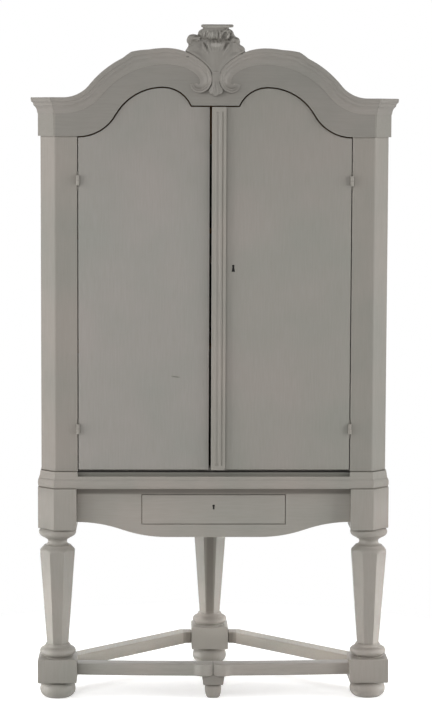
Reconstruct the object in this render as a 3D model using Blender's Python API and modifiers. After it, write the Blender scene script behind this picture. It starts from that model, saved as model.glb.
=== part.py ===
"""Painted corner cabinet: a two-door case with a double-arched cornice on a three-legged stand.

Metres, +Z up. The cabinet faces -Y and stands on Z = 0, with its origin under the middle of its box.
Depths are measured back from the front faces of the stand's leg blocks.
"""

import math

import bmesh
import bpy
from mathutils import Matrix, Vector

# Clearances
SEAT = 0.0003
HINGE_GAP = 0.003
TOP_GAP = 0.004
SILL_GAP = 0.0075
MEETING_GAP = 0.007
DRAWER_GAP = 0.002
SLIDE_GAP = 0.001
CREST_CLEARANCE = 0.0006
PIN_CLEARANCE = 0.0004

# How far a cutter, or a shape that is joined on, runs into its neighbour
OVERLAP = 0.008

# Worn edges, and the angles over which an edge is eased or stays sharp, in degrees
EDGE = 0.0012
BLOCK_EDGE = 0.002
POST_EDGE = 0.002
STRETCHER_EDGE = 0.003
EDGE_ANGLE = 40
SHARP_ANGLE = 35

# Facets of round shapes and curves
OCTAGON = 8
ROUND_STEPS = 24
BULGE_STEPS = 8
FOOT_STEPS = 10
NECK_STEPS = 6
BOW_STEPS = 12
SWEEP_STEPS = 8
TORUS_STEPS = 8
HOLLOW_STEPS = 8
ARCH_STEPS = 10
INNER_ARCH_STEPS = 6
VOLUTE_STEPS = 18
ROD_STEPS = 12
KNUCKLE_STEPS = 16
FLUTE_STEPS = 20
LOBE_SEGMENTS = 12
LOBE_RINGS = 8
KEEL_SIDES = 4
CREST_SCROLL_STEPS = 12
CREST_ARC_STEPS = 4

# Stand: leg blocks, turned legs and feet
STAND_WIDTH = 1.130
REAR_LEG_INSET = 0.0025
LEG_BLOCK = 0.125
BLOCK_CANT = 0.053
FOOT_HEIGHT = 0.054
FOOT_RADIUS = 0.058
LOWER_BLOCK_HEIGHT = 0.078
RING_RADIUS = 0.058
RING_HEIGHT = 0.042
SHAFT_LENGTH = 0.320
SHAFT_TOP_FLATS = 0.113
SHAFT_FOOT_FLATS = 0.068
NECK_RADIUS = 0.0312
COLLAR_RADIUS = 0.060
COLLAR_HEIGHT = 0.058
UPPER_BLOCK_HEIGHT = 0.134

# Turned profiles: shares of the collar's and the ring's height, and angles in degrees
COLLAR_RING_MIDDLE_SHARE = 0.79
COLLAR_RING_HALF_SHARE = 0.22
COLLAR_RING_ANGLE = 85
COLLAR_FILLET_SHARE = 0.045
COLLAR_SHOULDER_SHARE = 0.08
COLLAR_SWELL = 0.018
NECK_FILLET = 0.002
SHAFT_SHOULDER_HEIGHT = 0.014
SHAFT_SHOULDER_SHARES = ((0.86, 0.0), (0.95, 0.3), (1.0, 1.0))
RING_SWELL = 0.014
RING_MIDDLE_SHARE = 0.40
RING_HALF_SHARE = 0.32
RING_ANGLE = 80
RING_FILLET = 0.006
FOOT_SWELL_SHARE = 0.28
FOOT_ANGLE = 90

# Stand: stretchers and the small foot at the middle of the front stretcher
STRETCHER_WIDTH = 0.055
STRETCHER_HEIGHT = 0.038
STRETCHER_DROP = 0.019
STRETCHER_BOW = 0.020
STRETCHER_STUB = 0.028
KEEL_RADIUS = 0.040
KEEL_NECK_RADIUS = 0.030
KEEL_DROP = 0.028
CENTRE_FOOT_RADIUS = 0.027

# Stand: apron, rails, top
APRON_SETBACK = 0.038
APRON_THICKNESS = 0.022
APRON_END_HEIGHT = 0.112
APRON_DROP = 0.049
APRON_CURVE_END = 0.150
RAIL_THICKNESS = 0.028
RAIL_HEIGHT = 0.126
RAIL_INSET = 0.010
MOULDING_HEIGHT = 0.0535
MOULDING_STEP = 0.005
MOULDING_TORUS = 0.030
MOULDING_SWELL = 0.006
MOULDING_SLOPE = 0.0035
TORUS_ANGLE = 80
SILL_HEIGHT = 0.014
SILL_SETBACK = 0.022

# Drawer
DRAWER_WIDTH = 0.460
DRAWER_HEIGHT = 0.094
DRAWER_DROP = 0.024
DRAWER_LENGTH = 0.300
DRAWER_SIDE = 0.016
DRAWER_SIDE_INSET = 0.012
DRAWER_SIDE_TRIM = 0.007
DRAWER_BOTTOM = 0.008
RUNNER_HEIGHT = 0.014
RUNNER_WIDTH = 0.040
RUNNER_RISE = 0.034
GROOVE_DEPTH = 0.008
DRAWER_LOCK_WIDTH = 0.056
DRAWER_LOCK_HEIGHT = 0.042
DRAWER_LOCK_THICKNESS = 0.012
DRAWER_BOLT_WIDTH = 0.022
DRAWER_BOLT_HEIGHT = 0.029
DRAWER_BOLT_THICKNESS = 0.006
DRAWER_KEYHOLE_RISE = 0.008
DRAWER_KEYHOLE_HEIGHT = 0.016
DRAWER_KEYHOLE_FOOT = 0.006

# Case: posts, panels and boards
CASE_INSET = 0.0115
CASE_SETBACK = 0.015
CASE_CANT = 0.0465
POST_FACE = 0.0715
POST_THICKNESS = 0.030
POST_RETURN = 0.126
PANEL_THICKNESS = 0.018
REAR_POST_WIDTH = 0.110
REAR_POST_THICKNESS = 0.038
CASE_TOP_DROP = 0.020
BOARD = 0.018
SHELF_SETBACK = 0.075
LOWER_SHELF_HEIGHT = 0.390
UPPER_SHELF_HEIGHT = 0.760
BATTEN_WIDTH = 0.020
BATTEN_HEIGHT = 0.025
BATTEN_CLEARANCE = 0.012
HEAD_THICKNESS = 0.020
HEAD_DROP = 0.020
HEAD_COVER = 0.024
HEAD_SHOULDER = 0.300

# Doors
DOOR_THICKNESS = 0.022
DOOR_SIDE_HEIGHT = 1.065
DOOR_ARCH_RISE = 0.1565
DOOR_FLAT_DROP = 0.059
DOOR_PEAK_X = 0.165
DOOR_ARCH_SHARE = 0.55
DOOR_INNER_RADIUS = 0.095
MEETING_X = -0.010
ASTRAGAL_WIDTH = 0.045
ASTRAGAL_THICKNESS = 0.012
ASTRAGAL_FLUTE = 0.0035
FLUTE_STOP = 0.015
WIDE_FLUTE_INSET = 0.0182
WIDE_FLUTE_WIDTH = 0.0145
NARROW_FLUTE_INSET = 0.0342
NARROW_FLUTE_WIDTH = 0.0044
LOWER_HINGE_RISE = 0.139
UPPER_HINGE_DROP = 0.135
HINGE_LEAF_HEIGHT = 0.060
HINGE_LEAF_DEPTH = 0.018
HINGE_LEAF = 0.001
KNUCKLE_RADIUS = 0.0055
KNUCKLE_LENGTH = 0.032
HINGE_PIN_RADIUS = 0.002
HINGE_PROUD = 0.006
DOOR_LOCK_HEIGHT = 0.653
DOOR_LOCK_SIZE = 0.100
DOOR_LOCK_THICKNESS = 0.016
DOOR_LOCK_INSET = 0.002
DOOR_BOLT_LENGTH = 0.060
DOOR_BOLT_HEIGHT = 0.019
DOOR_BOLT_THICKNESS = 0.008
DOOR_BOLT_RISE = 0.026
DOOR_BOLT_SHOWING = 0.0035
DOOR_KEYHOLE_X = 0.059
DOOR_KEYHOLE_HEIGHT = 0.023
DOOR_KEYHOLE_FOOT = 0.011
KEYHOLE_RADIUS = 0.0042
KEYHOLE_SLOT = 0.0048
KEYHOLE_DEPTH = 0.010
FLUSH_BOLT_WIDTH = 0.0115
FLUSH_BOLT_THICKNESS = 0.0075
FLUSH_BOLT_LENGTH = 0.222
FLUSH_BOLT_X = -0.040
FLUSH_BOLT_TRAVEL = 0.022
FLUSH_KNOB_RADIUS = 0.006
FLUSH_KNOB_REACH = 0.012
FLUSH_KNOB_RISE = 0.020

# Frieze, cornice and crest
FRIEZE_PROUD = 0.008
FRIEZE_SIDE_HEIGHT = 0.1255
FRIEZE_JOINT_INSET = 0.002
FRIEZE_LIP = 0.006
FRIEZE_ARC_ANGLE = 120.0
CORNICE_WIDTH = 0.050
CORNICE_REACH = 0.022
CORNICE_ARCH_RISE = 0.155
CORNICE_PEAK_X = 0.155
CORNICE_ARCH_SHARE = 0.745
CORNICE_INNER_RADIUS = 0.170
CORNICE_FOOT_INSET = 0.028
VOLUTE_X = 0.057
VOLUTE_RISE = 0.045
VOLUTE_ARC_X = 0.039
VOLUTE_END_ANGLE = 340.0
VOLUTE_LAST_RADIUS = 0.026
VOLUTE_DECAY_RATIO = 0.67
VOLUTE_FILL_SHARE = 0.86
VOLUTE_BLEND_ANGLE = 85.0
CREST_RISE = 0.2285
CREST_FOOT_RISE = 0.005
CREST_STEM_WIDTH = 0.024
CREST_SHOULDER_WIDTH = 0.186
CREST_SHOULDER_RISE = 0.153
CREST_HEAD_WIDTH = 0.168
CREST_HEAD_RISE = 0.181
CREST_THICKNESS = 0.024
CREST_REACH = 0.040
CREST_ARC_ANGLE = 111.0
CREST_END_ANGLE = 215.0
ROLL_WIDTH = 0.108
ROLL_RADIUS = 0.023
ROLL_LOBES = 5
CAP_WIDTH = 0.104
CAP_THICKNESS = 0.009
CAP_DEPTH = 0.052
LOBE_RADIUS = 0.020

# The crest's lobes as shares: a flute's half width of its pitch, a side lobe's place, width and height
FLUTE_SPREAD_SHARE = 0.62
LOBE_INSET_SHARE = 0.7
LOBE_RISE_SHARE = 0.3
LOBE_DEPTH_SHARE = 0.6
LOBE_HEIGHT_SHARE = 0.8

# The cornice's section: share of its width from the outer edge, and share of its reach
CORNICE_RIM = ((0.0, 0.0), (0.0, 1.0), (0.33, 0.96), (0.36, 0.78), (0.46, 0.70))
CORNICE_COVE = ((0.50, 0.52), (0.60, 0.34), (0.74, 0.19), (0.90, 0.11), (1.0, 0.09), (1.0, 0.0))
CORNICE_SECTION = CORNICE_RIM + CORNICE_COVE
MITRE = math.tan(math.pi / 8)

# Heights that follow from the stack of the stand
LOWER_BLOCK_Z = FOOT_HEIGHT
RING_Z = LOWER_BLOCK_Z + LOWER_BLOCK_HEIGHT
SHAFT_Z = RING_Z + RING_HEIGHT
COLLAR_Z = SHAFT_Z + SHAFT_LENGTH
UPPER_BLOCK_Z = COLLAR_Z + COLLAR_HEIGHT
STAND_TOP_Z = UPPER_BLOCK_Z + UPPER_BLOCK_HEIGHT
CASE_Z = STAND_TOP_Z + SEAT + MOULDING_HEIGHT
STRETCHER_Z = RING_Z - STRETCHER_DROP - STRETCHER_HEIGHT
CASE_FLOOR_Z = CASE_Z + SEAT
DOOR_SIDE_Z = CASE_Z + DOOR_SIDE_HEIGHT
DOOR_PEAK_Z = DOOR_SIDE_Z + DOOR_ARCH_RISE
DOOR_FLAT_Z = DOOR_PEAK_Z - DOOR_FLAT_DROP
CORNICE_END_Z = DOOR_SIDE_Z + FRIEZE_SIDE_HEIGHT
CASE_TOP_Z = CORNICE_END_Z - CASE_TOP_DROP

# Half widths and depths that several pieces share
STAND_X = STAND_WIDTH / 2
BLOCK_INNER_X = STAND_X - LEG_BLOCK
REAR_LEG_X = LEG_BLOCK / 2
LEG_X = STAND_X - LEG_BLOCK / 2
STAND_WALL = STAND_X + LEG_BLOCK
STAND_DEPTH = STAND_WALL - REAR_LEG_X - REAR_LEG_INSET
REAR_LEG_D = STAND_DEPTH - LEG_BLOCK
CASE_X = STAND_X - CASE_INSET
CANT_X = CASE_X - CASE_CANT
POST_INNER_X = CANT_X - POST_FACE
CANT_END_D = CASE_SETBACK + CASE_CANT
CASE_WALL = CASE_X + POST_RETURN
PANEL_INNER = CASE_WALL - PANEL_THICKNESS * math.sqrt(2)
REAR_POST_X = REAR_POST_WIDTH / 2
REAR_POST_BACK = CASE_WALL - REAR_POST_X
REAR_POST_D = REAR_POST_BACK - REAR_POST_THICKNESS
DOOR_EDGE_X = POST_INNER_X - HINGE_GAP
DOOR_BACK_D = CASE_SETBACK + DOOR_THICKNESS
DOOR_Z = CASE_Z + SILL_GAP
HINGE_X = POST_INNER_X - HINGE_GAP / 2
HINGE_D = CASE_SETBACK - HINGE_PROUD
LEFT_DOOR_X = MEETING_X - MEETING_GAP
FRIEZE_D = CASE_SETBACK - FRIEZE_PROUD
FRIEZE_X = CANT_X + FRIEZE_PROUD * MITRE
FRIEZE_JOINT_X = CANT_X - FRIEZE_JOINT_INSET
CORNICE_FOOT_X = CANT_X - CORNICE_FOOT_INSET
FRONT_D = FRIEZE_D - CREST_REACH
MIDDLE_D = (FRONT_D + STAND_DEPTH) / 2
SHAFT_CORNER = 0.5 / math.cos(math.pi / OCTAGON)
APRON_D = (APRON_SETBACK, APRON_SETBACK + APRON_THICKNESS)
DRAWER_TOP_Z = STAND_TOP_Z - DRAWER_DROP
DRAWER_Z = DRAWER_TOP_Z - DRAWER_HEIGHT
DRAWER_X = DRAWER_WIDTH / 2
DRAWER_SIDE_X = DRAWER_X - DRAWER_SIDE_INSET
RUNNER_X = DRAWER_SIDE_X - GROOVE_DEPTH + SLIDE_GAP
RUNNER_Z = DRAWER_Z + DRAWER_SIDE_TRIM + RUNNER_RISE
RAIL_OUTER = STAND_WALL - RAIL_INSET
RAIL_INNER = RAIL_OUTER - RAIL_THICKNESS * math.sqrt(2)
VOLUTE_EYE = (VOLUTE_X, CORNICE_END_Z + VOLUTE_RISE)
LOCK_Z = CASE_Z + DOOR_LOCK_HEIGHT

PAINT = {"colour": (0.300, 0.285, 0.255), "roughness": 0.55, "metallic": 0.0}
PAINT_DOOR = {"colour": (0.255, 0.245, 0.226), "roughness": 0.52, "metallic": 0.0}
BARE_WOOD = {"colour": (0.230, 0.150, 0.085), "roughness": 0.72, "metallic": 0.0}
IRON = {"colour": (0.085, 0.080, 0.075), "roughness": 0.50, "metallic": 0.9}
PAINTED_IRON = {"colour": (0.240, 0.230, 0.210), "roughness": 0.50, "metallic": 0.0}


def clear_scene():
    for old in list(bpy.data.objects):
        bpy.data.objects.remove(old, do_unlink=True)


def new_collection(name):
    group = bpy.data.collections.new(name)
    bpy.context.scene.collection.children.link(group)
    return group


def finish(name, look):
    """A Principled material of the piece's own."""
    material = bpy.data.materials.new(name + "_finish")
    material.use_nodes = True
    shader = material.node_tree.nodes["Principled BSDF"]
    shader.inputs["Base Color"].default_value = (*look["colour"], 1.0)
    shader.inputs["Roughness"].default_value = look["roughness"]
    shader.inputs["Metallic"].default_value = look["metallic"]
    return material


def piece(name, mesh, look):
    """A named part of the cabinet."""
    made = bpy.data.objects.new(name, mesh)
    PARTS.objects.link(made)
    mesh.materials.append(finish(name, look))
    return made


def helper(name, mesh):
    """A shape that only cuts or joins another."""
    made = bpy.data.objects.new(name, mesh)
    CUTTERS.objects.link(made)
    made.hide_render = True
    made.display_type = "WIRE"
    return made


def make(name, mesh, look):
    return piece(name, mesh, look) if look else helper(name, mesh)


def boolean(target, other, operation):
    step = target.modifiers.new(other.name, "BOOLEAN")
    step.operation = operation
    step.object = other
    step.solver = "EXACT"


def cut(target, *others):
    for other in others:
        boolean(target, other, "DIFFERENCE")


def join(target, *others):
    for other in others:
        boolean(target, other, "UNION")


def ease(target, width, segments=1):
    """Worn edges: a narrow bevel on the sharp ones."""
    step = target.modifiers.new("edges", "BEVEL")
    step.width = width
    step.segments = segments
    step.limit_method = "ANGLE"
    step.angle_limit = math.radians(EDGE_ANGLE)


def smooth(mesh):
    mesh.shade_smooth()
    mesh.set_sharp_from_angle(angle=math.radians(SHARP_ANGLE))


def box(name, x, d, z, look=None):
    """A block between two values of x, of depth and of z."""
    shape = bmesh.new()
    bmesh.ops.create_cube(shape, size=1.0)
    size = [high - low for low, high in (x, d, z)]
    bmesh.ops.scale(shape, vec=size, verts=shape.verts)
    mesh = bpy.data.meshes.new(name)
    shape.to_mesh(mesh)
    shape.free()
    made = make(name, mesh, look)
    made.location = (sum(x) / 2, sum(d) / 2 - MIDDLE_D, sum(z) / 2)
    return made


def filled(name, outline, thickness):
    """A flat outline as a closed mesh, centred on its own plane."""
    curve = bpy.data.curves.new(name, "CURVE")
    curve.dimensions = "2D"
    curve.fill_mode = "BOTH"
    curve.extrude = thickness / 2
    spline = curve.splines.new("POLY")
    spline.points.add(len(outline) - 1)
    for point, (u, v) in zip(spline.points, outline):
        point.co = (u, v, 0.0, 1.0)
    spline.use_cyclic_u = True
    holder = bpy.data.objects.new(name + "_outline", curve)
    bpy.context.scene.collection.objects.link(holder)
    graph = bpy.context.evaluated_depsgraph_get()
    mesh = bpy.data.meshes.new_from_object(holder.evaluated_get(graph))
    bpy.data.objects.remove(holder)
    shape = bmesh.new()
    shape.from_mesh(mesh)
    bmesh.ops.remove_doubles(shape, verts=shape.verts, dist=1e-6)
    bmesh.ops.dissolve_limit(shape, angle_limit=1e-3, verts=shape.verts, edges=shape.edges)
    bmesh.ops.recalc_face_normals(shape, faces=shape.faces)
    shape.to_mesh(mesh)
    shape.free()
    mesh.materials.clear()
    mesh.name = name
    return mesh


def slab(name, outline, z, look=None):
    """A level board: its outline in x and depth, between two heights."""
    made = make(name, filled(name, outline, z[1] - z[0]), look)
    made.location = (0.0, -MIDDLE_D, sum(z) / 2)
    return made


def panel(name, outline, d, look=None):
    """An upright board: its outline in x and z, between two depths."""
    made = make(name, filled(name, outline, d[1] - d[0]), look)
    made.rotation_euler = (math.pi / 2, 0.0, 0.0)
    made.location = (0.0, sum(d) / 2 - MIDDLE_D, 0.0)
    return made


def turned(name, profile, x, d, look=None, steps=ROUND_STEPS, turn=0.0):
    """A turned shape: its outer profile of radius and height, from top to bottom."""
    mesh = bpy.data.meshes.new(name)
    points = [(0.0, profile[0][1])] + list(profile) + [(0.0, profile[-1][1])]
    edges = [(i, i + 1) for i in range(len(points) - 1)]
    mesh.from_pydata([(r, 0.0, z) for r, z in points], edges, [])
    made = make(name, mesh, look)
    screw = made.modifiers.new("turning", "SCREW")
    screw.steps = steps
    screw.render_steps = steps
    screw.use_merge_vertices = True
    screw.merge_threshold = 1e-5
    screw.use_smooth_shade = steps > OCTAGON
    made.location = (x, d - MIDDLE_D, 0.0)
    made.rotation_euler = (0.0, 0.0, turn)
    return made


def loft(name, sections, look=None):
    """A solid through closed sections that have the same number of points."""
    shape = bmesh.new()
    rings = [[shape.verts.new(point) for point in section] for section in sections]
    count = len(rings[0])
    for here, after in zip(rings, rings[1:]):
        for i in range(count):
            j = (i + 1) % count
            shape.faces.new((here[i], here[j], after[j], after[i]))
    shape.faces.new(rings[0])
    shape.faces.new(rings[-1])
    bmesh.ops.recalc_face_normals(shape, faces=shape.faces)
    mesh = bpy.data.meshes.new(name)
    shape.to_mesh(mesh)
    shape.free()
    smooth(mesh)
    made = make(name, mesh, look)
    made.location = (0.0, -MIDDLE_D, 0.0)
    return made


def mirrored(points):
    """The same outline on the other side of the cabinet."""
    return [(-x, v) for x, v in reversed(points)]


def inset(outline, gap):
    """An outline, listed counter-clockwise, with every edge moved in by the gap."""
    moved = []
    count = len(outline)
    for i in range(count):
        before, here, after = (Vector(outline[(i + k) % count]) for k in (-1, 0, 1))
        first = (here - before).normalized()
        second = (after - here).normalized()
        inward_first = Vector((-first.y, first.x))
        inward_second = Vector((-second.y, second.x))
        corner = (inward_first + inward_second).normalized()
        reach = gap / corner.dot(inward_first)
        moved.append(tuple(here + corner * reach))
    return moved


def around(centre, radius, angle):
    """The point on a circle at an angle in degrees."""
    turn = math.radians(angle)
    return (centre[0] + radius * math.cos(turn), centre[1] + radius * math.sin(turn))


def arc(centre, radius, start, end, count):
    """Points on a circle from one angle to another, in degrees, both ends included."""
    return [around(centre, radius, start + (end - start) * i / count) for i in range(count + 1)]


class Ogee:
    """A round arch, tighter towards the middle, that runs out through a hollow into a level foot.

    The outer radius and the hollow's add up to a length that the peak and the foot set, and the arch takes its
    share of it.
    """

    def __init__(self, peak, foot, share, inner):
        drop = peak[1] - foot[1]
        run = foot[0] - peak[0]
        both = (run**2 + drop**2) / (2 * drop)
        self.radius = share * both
        self.hollow = both - self.radius
        self.inner = inner
        self.centre = (peak[0], peak[1] - self.radius)
        self.inner_centre = (peak[0], peak[1] - inner)
        self.hollow_centre = (foot[0], foot[1] + self.hollow)
        way = Vector(self.hollow_centre) - Vector(self.centre)
        self.join = math.degrees(math.atan2(way.y, way.x))

    def line(self, offset, end_angle):
        """The arch and its hollow moved out by the offset, from the foot up and over."""
        foot = arc(self.hollow_centre, self.hollow - offset, 270, 180 + self.join, HOLLOW_STEPS)
        crown = arc(self.centre, self.radius + offset, self.join, 90, ARCH_STEPS)
        inside = arc(self.inner_centre, self.inner + offset, 90, end_angle, INNER_ARCH_STEPS)
        return foot + crown[1:] + inside[1:]


DOOR_ARCH = Ogee(
    (DOOR_PEAK_X, DOOR_PEAK_Z),
    (HINGE_X, DOOR_SIDE_Z),
    DOOR_ARCH_SHARE,
    DOOR_INNER_RADIUS,
)
CORNICE_ARCH = Ogee(
    (CORNICE_PEAK_X, CORNICE_END_Z + CORNICE_ARCH_RISE),
    (CORNICE_FOOT_X, CORNICE_END_Z),
    CORNICE_ARCH_SHARE,
    CORNICE_INNER_RADIUS,
)
VOLUTE_ARC_ANGLE = math.degrees(math.acos((VOLUTE_ARC_X - CORNICE_PEAK_X) / CORNICE_INNER_RADIUS))


def door_line(offset):
    """The arched door top on the right-hand side, from the hinge to the level middle."""
    level = DOOR_FLAT_Z + offset
    rise = (level - DOOR_ARCH.inner_centre[1]) / (DOOR_ARCH.inner + offset)
    return DOOR_ARCH.line(offset, 180 - math.degrees(math.asin(rise)))


def bulge(radius, swell, middle, half_height, turn, count=BULGE_STEPS):
    """A rounded ring on a turned profile, from an angle above its middle to the same one below."""
    ring = []
    for i in range(count + 1):
        angle = math.radians(turn * (1 - 2 * i / count))
        across = radius - swell + swell * math.cos(angle)
        ring.append((across, middle + half_height * math.sin(angle)))
    return ring


def hollow(radius, top, bottom):
    """A round hollow on a turned profile, down to its smallest radius."""
    half = (top - bottom) / 2
    neck = []
    for i in range(NECK_STEPS + 1):
        angle = math.pi * i / NECK_STEPS
        neck.append((radius + half * (1 - math.sin(angle)), (top + bottom) / 2 + half * math.cos(angle)))
    return neck


def collar_profile():
    """From the block down: a fat ring, a fillet, a hollow neck and the collar of the shaft."""
    ring_z = COLLAR_Z + COLLAR_RING_MIDDLE_SHARE * COLLAR_HEIGHT
    ring_half = COLLAR_RING_HALF_SHARE * COLLAR_HEIGHT
    ring = bulge(COLLAR_RADIUS, COLLAR_SWELL, ring_z, ring_half, COLLAR_RING_ANGLE)
    fillet_z = ring_z - ring_half - COLLAR_FILLET_SHARE * COLLAR_HEIGHT
    shoulder_z = COLLAR_Z + COLLAR_SHOULDER_SHARE * COLLAR_HEIGHT
    neck = hollow(NECK_RADIUS, fillet_z, shoulder_z)
    fillet = [(neck[0][0] + NECK_FILLET, ring[-1][1] - NECK_FILLET), (neck[0][0] + NECK_FILLET, fillet_z)]
    shoulder = neck[-1][0] + NECK_FILLET
    tail = [(shoulder, shoulder_z), (shoulder, COLLAR_Z - OVERLAP)]
    return [(ring[0][0], UPPER_BLOCK_Z + OVERLAP)] + ring + fillet + neck + tail


def shaft_profile():
    """An eight-sided shaft that tapers down, with rounded shoulders."""
    top = []
    for across, down in SHAFT_SHOULDER_SHARES:
        top.append((SHAFT_TOP_FLATS * SHAFT_CORNER * across, COLLAR_Z - SHAFT_SHOULDER_HEIGHT * down))
    return top + [(SHAFT_FOOT_FLATS * SHAFT_CORNER, SHAFT_Z - OVERLAP)]


def ring_profile():
    """The ring between the shaft and the lower block."""
    middle = RING_Z + RING_MIDDLE_SHARE * RING_HEIGHT
    ring = bulge(RING_RADIUS, RING_SWELL, middle, RING_HALF_SHARE * RING_HEIGHT, RING_ANGLE)
    foot = SHAFT_FOOT_FLATS / 2
    top = [(foot, SHAFT_Z), (foot + RING_FILLET / 2, SHAFT_Z - RING_FILLET)]
    return top + ring + [(ring[-1][0] + RING_FILLET, RING_Z), (ring[-1][0] + RING_FILLET, RING_Z - OVERLAP)]


def leg(name, x, d, side):
    """One leg in a single piece, from its lower block to the block that takes the rails."""
    half = LEG_BLOCK / 2
    across = (x - half, x + half)
    deep = (d - half, d + half)
    made = box(name, across, deep, (LOWER_BLOCK_Z + SEAT, RING_Z), PAINT)
    ease(made, BLOCK_EDGE)
    outline = [(across[0], deep[0]), (across[1], deep[0]), (across[1], deep[1]), (across[0], deep[1])]
    if side > 0:
        outline[1:2] = [(across[1] - BLOCK_CANT, deep[0]), (across[1], deep[0] + BLOCK_CANT)]
    elif side < 0:
        outline[0:1] = [(across[0], deep[0] + BLOCK_CANT), (across[0] + BLOCK_CANT, deep[0])]
    upper = slab(name + "_block", outline, (UPPER_BLOCK_Z, STAND_TOP_Z))
    ease(upper, BLOCK_EDGE)
    shaft = turned(name + "_shaft", shaft_profile(), x, d, steps=OCTAGON, turn=math.pi / OCTAGON)
    ring = turned(name + "_ring", ring_profile(), x, d)
    collar = turned(name + "_collar", collar_profile(), x, d)
    join(made, ring, shaft, collar, upper)
    return made


def bun_foot(name, x, d, radius, height):
    """A turned foot with a flat sole."""
    profile = bulge(radius, radius * FOOT_SWELL_SHARE, height / 2, height / 2, FOOT_ANGLE, FOOT_STEPS)
    return turned(name, profile, x, d, PAINT)


def legs_and_feet():
    middle = LEG_BLOCK / 2
    for side, word in ((-1, "front_left"), (1, "front_right")):
        leg(word + "_leg", side * LEG_X, middle, side)
        bun_foot(word + "_foot", side * LEG_X, middle, FOOT_RADIUS, FOOT_HEIGHT)
    leg("rear_leg", 0.0, REAR_LEG_D + middle, 0)
    bun_foot("rear_foot", 0.0, REAR_LEG_D + middle, FOOT_RADIUS, FOOT_HEIGHT)


def bowed_outline():
    """The front stretcher from above: both edges bow forward between the blocks."""
    end = BLOCK_INNER_X - SEAT
    front = []
    back = []
    for i in range(BOW_STEPS + 1):
        share = 2 * i / BOW_STEPS - 1
        middle = LEG_BLOCK / 2 - STRETCHER_BOW * (1 - share**2)
        front.append((share * end, middle - STRETCHER_WIDTH / 2))
        back.append((share * end, middle + STRETCHER_WIDTH / 2))
    return front + back[::-1]


def side_outline():
    """The right-hand stretcher from above: along the wall, then straight into the rear block."""
    half = STRETCHER_WIDTH / 2
    slant = half * math.sqrt(2)
    front = LEG_BLOCK + SEAT
    stub = LEG_BLOCK + LEG_X - REAR_LEG_X - STRETCHER_STUB
    outer = LEG_X + LEG_BLOCK + slant
    inner = LEG_X + LEG_BLOCK - slant
    end = REAR_LEG_X + SEAT
    return [
        (inner - front, front),
        (outer - front, front),
        (outer - stub - half, stub + half),
        (end, stub + half),
        (end, stub - half),
        (inner - stub + half, stub - half),
    ]


def stretchers():
    level = (STRETCHER_Z, STRETCHER_Z + STRETCHER_HEIGHT)
    middle = LEG_BLOCK / 2 - STRETCHER_BOW
    front = slab("front_stretcher", bowed_outline(), level, PAINT)
    ease(front, STRETCHER_EDGE)
    keel_profile = [
        (KEEL_RADIUS, level[1] - STRETCHER_EDGE),
        (KEEL_RADIUS, level[0] - STRETCHER_EDGE),
        (KEEL_NECK_RADIUS, level[0] - KEEL_DROP),
    ]
    join(front, turned("front_stretcher_keel", keel_profile, 0.0, middle, steps=KEEL_SIDES))
    bun_foot("centre_foot", 0.0, middle, CENTRE_FOOT_RADIUS, STRETCHER_Z - KEEL_DROP - SEAT)
    right = side_outline()
    ease(slab("right_stretcher", right, level, PAINT), STRETCHER_EDGE)
    ease(slab("left_stretcher", mirrored(right), level, PAINT), STRETCHER_EDGE)


def sweep_down(high, low):
    """Two equal arcs that leave one level and run smoothly into a lower one."""
    run = high[0] - low[0]
    drop = high[1] - low[1]
    radius = (run**2 + drop**2) / (4 * drop)
    turn = math.degrees(math.asin(run / 2 / radius))
    first = arc((high[0], high[1] - radius), radius, 90, 90 + turn, SWEEP_STEPS)
    second = arc((low[0], low[1] + radius), radius, 270 + turn, 270, SWEEP_STEPS)
    return first + second[1:]


def apron_and_rails():
    end = BLOCK_INNER_X - SEAT
    foot = STAND_TOP_Z - APRON_END_HEIGHT
    lower = sweep_down((end, foot), (APRON_CURVE_END, foot - APRON_DROP))
    right = [(end, STAND_TOP_Z)] + lower
    apron = panel("front_apron", right + mirrored(right), APRON_D, PAINT)
    cut(
        apron,
        box(
            "drawer_opening",
            (-DRAWER_X - DRAWER_GAP, DRAWER_X + DRAWER_GAP),
            (APRON_D[0] - OVERLAP, APRON_D[1] + OVERLAP),
            (DRAWER_Z - DRAWER_GAP, DRAWER_TOP_Z + DRAWER_GAP),
        ),
    )
    front = LEG_BLOCK + SEAT
    back = REAR_LEG_X + SEAT
    rail = [
        (RAIL_INNER - front, front),
        (RAIL_OUTER - front, front),
        (back, RAIL_OUTER - back),
        (back, RAIL_INNER - back),
    ]
    level = (STAND_TOP_Z - RAIL_HEIGHT, STAND_TOP_Z)
    slab("right_rear_rail", rail, level, PAINT)
    slab("left_rear_rail", mirrored(rail), level, PAINT)
    start = APRON_D[1] + SEAT
    stop = RAIL_INNER - SEAT * math.sqrt(2)
    outer = RUNNER_X + RUNNER_WIDTH
    runner = [(RUNNER_X, start), (outer, start), (outer, stop - outer), (RUNNER_X, stop - RUNNER_X)]
    level = (RUNNER_Z, RUNNER_Z + RUNNER_HEIGHT)
    slab("right_drawer_runner", runner, level, BARE_WOOD)
    slab("left_drawer_runner", mirrored(runner), level, BARE_WOOD)


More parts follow.
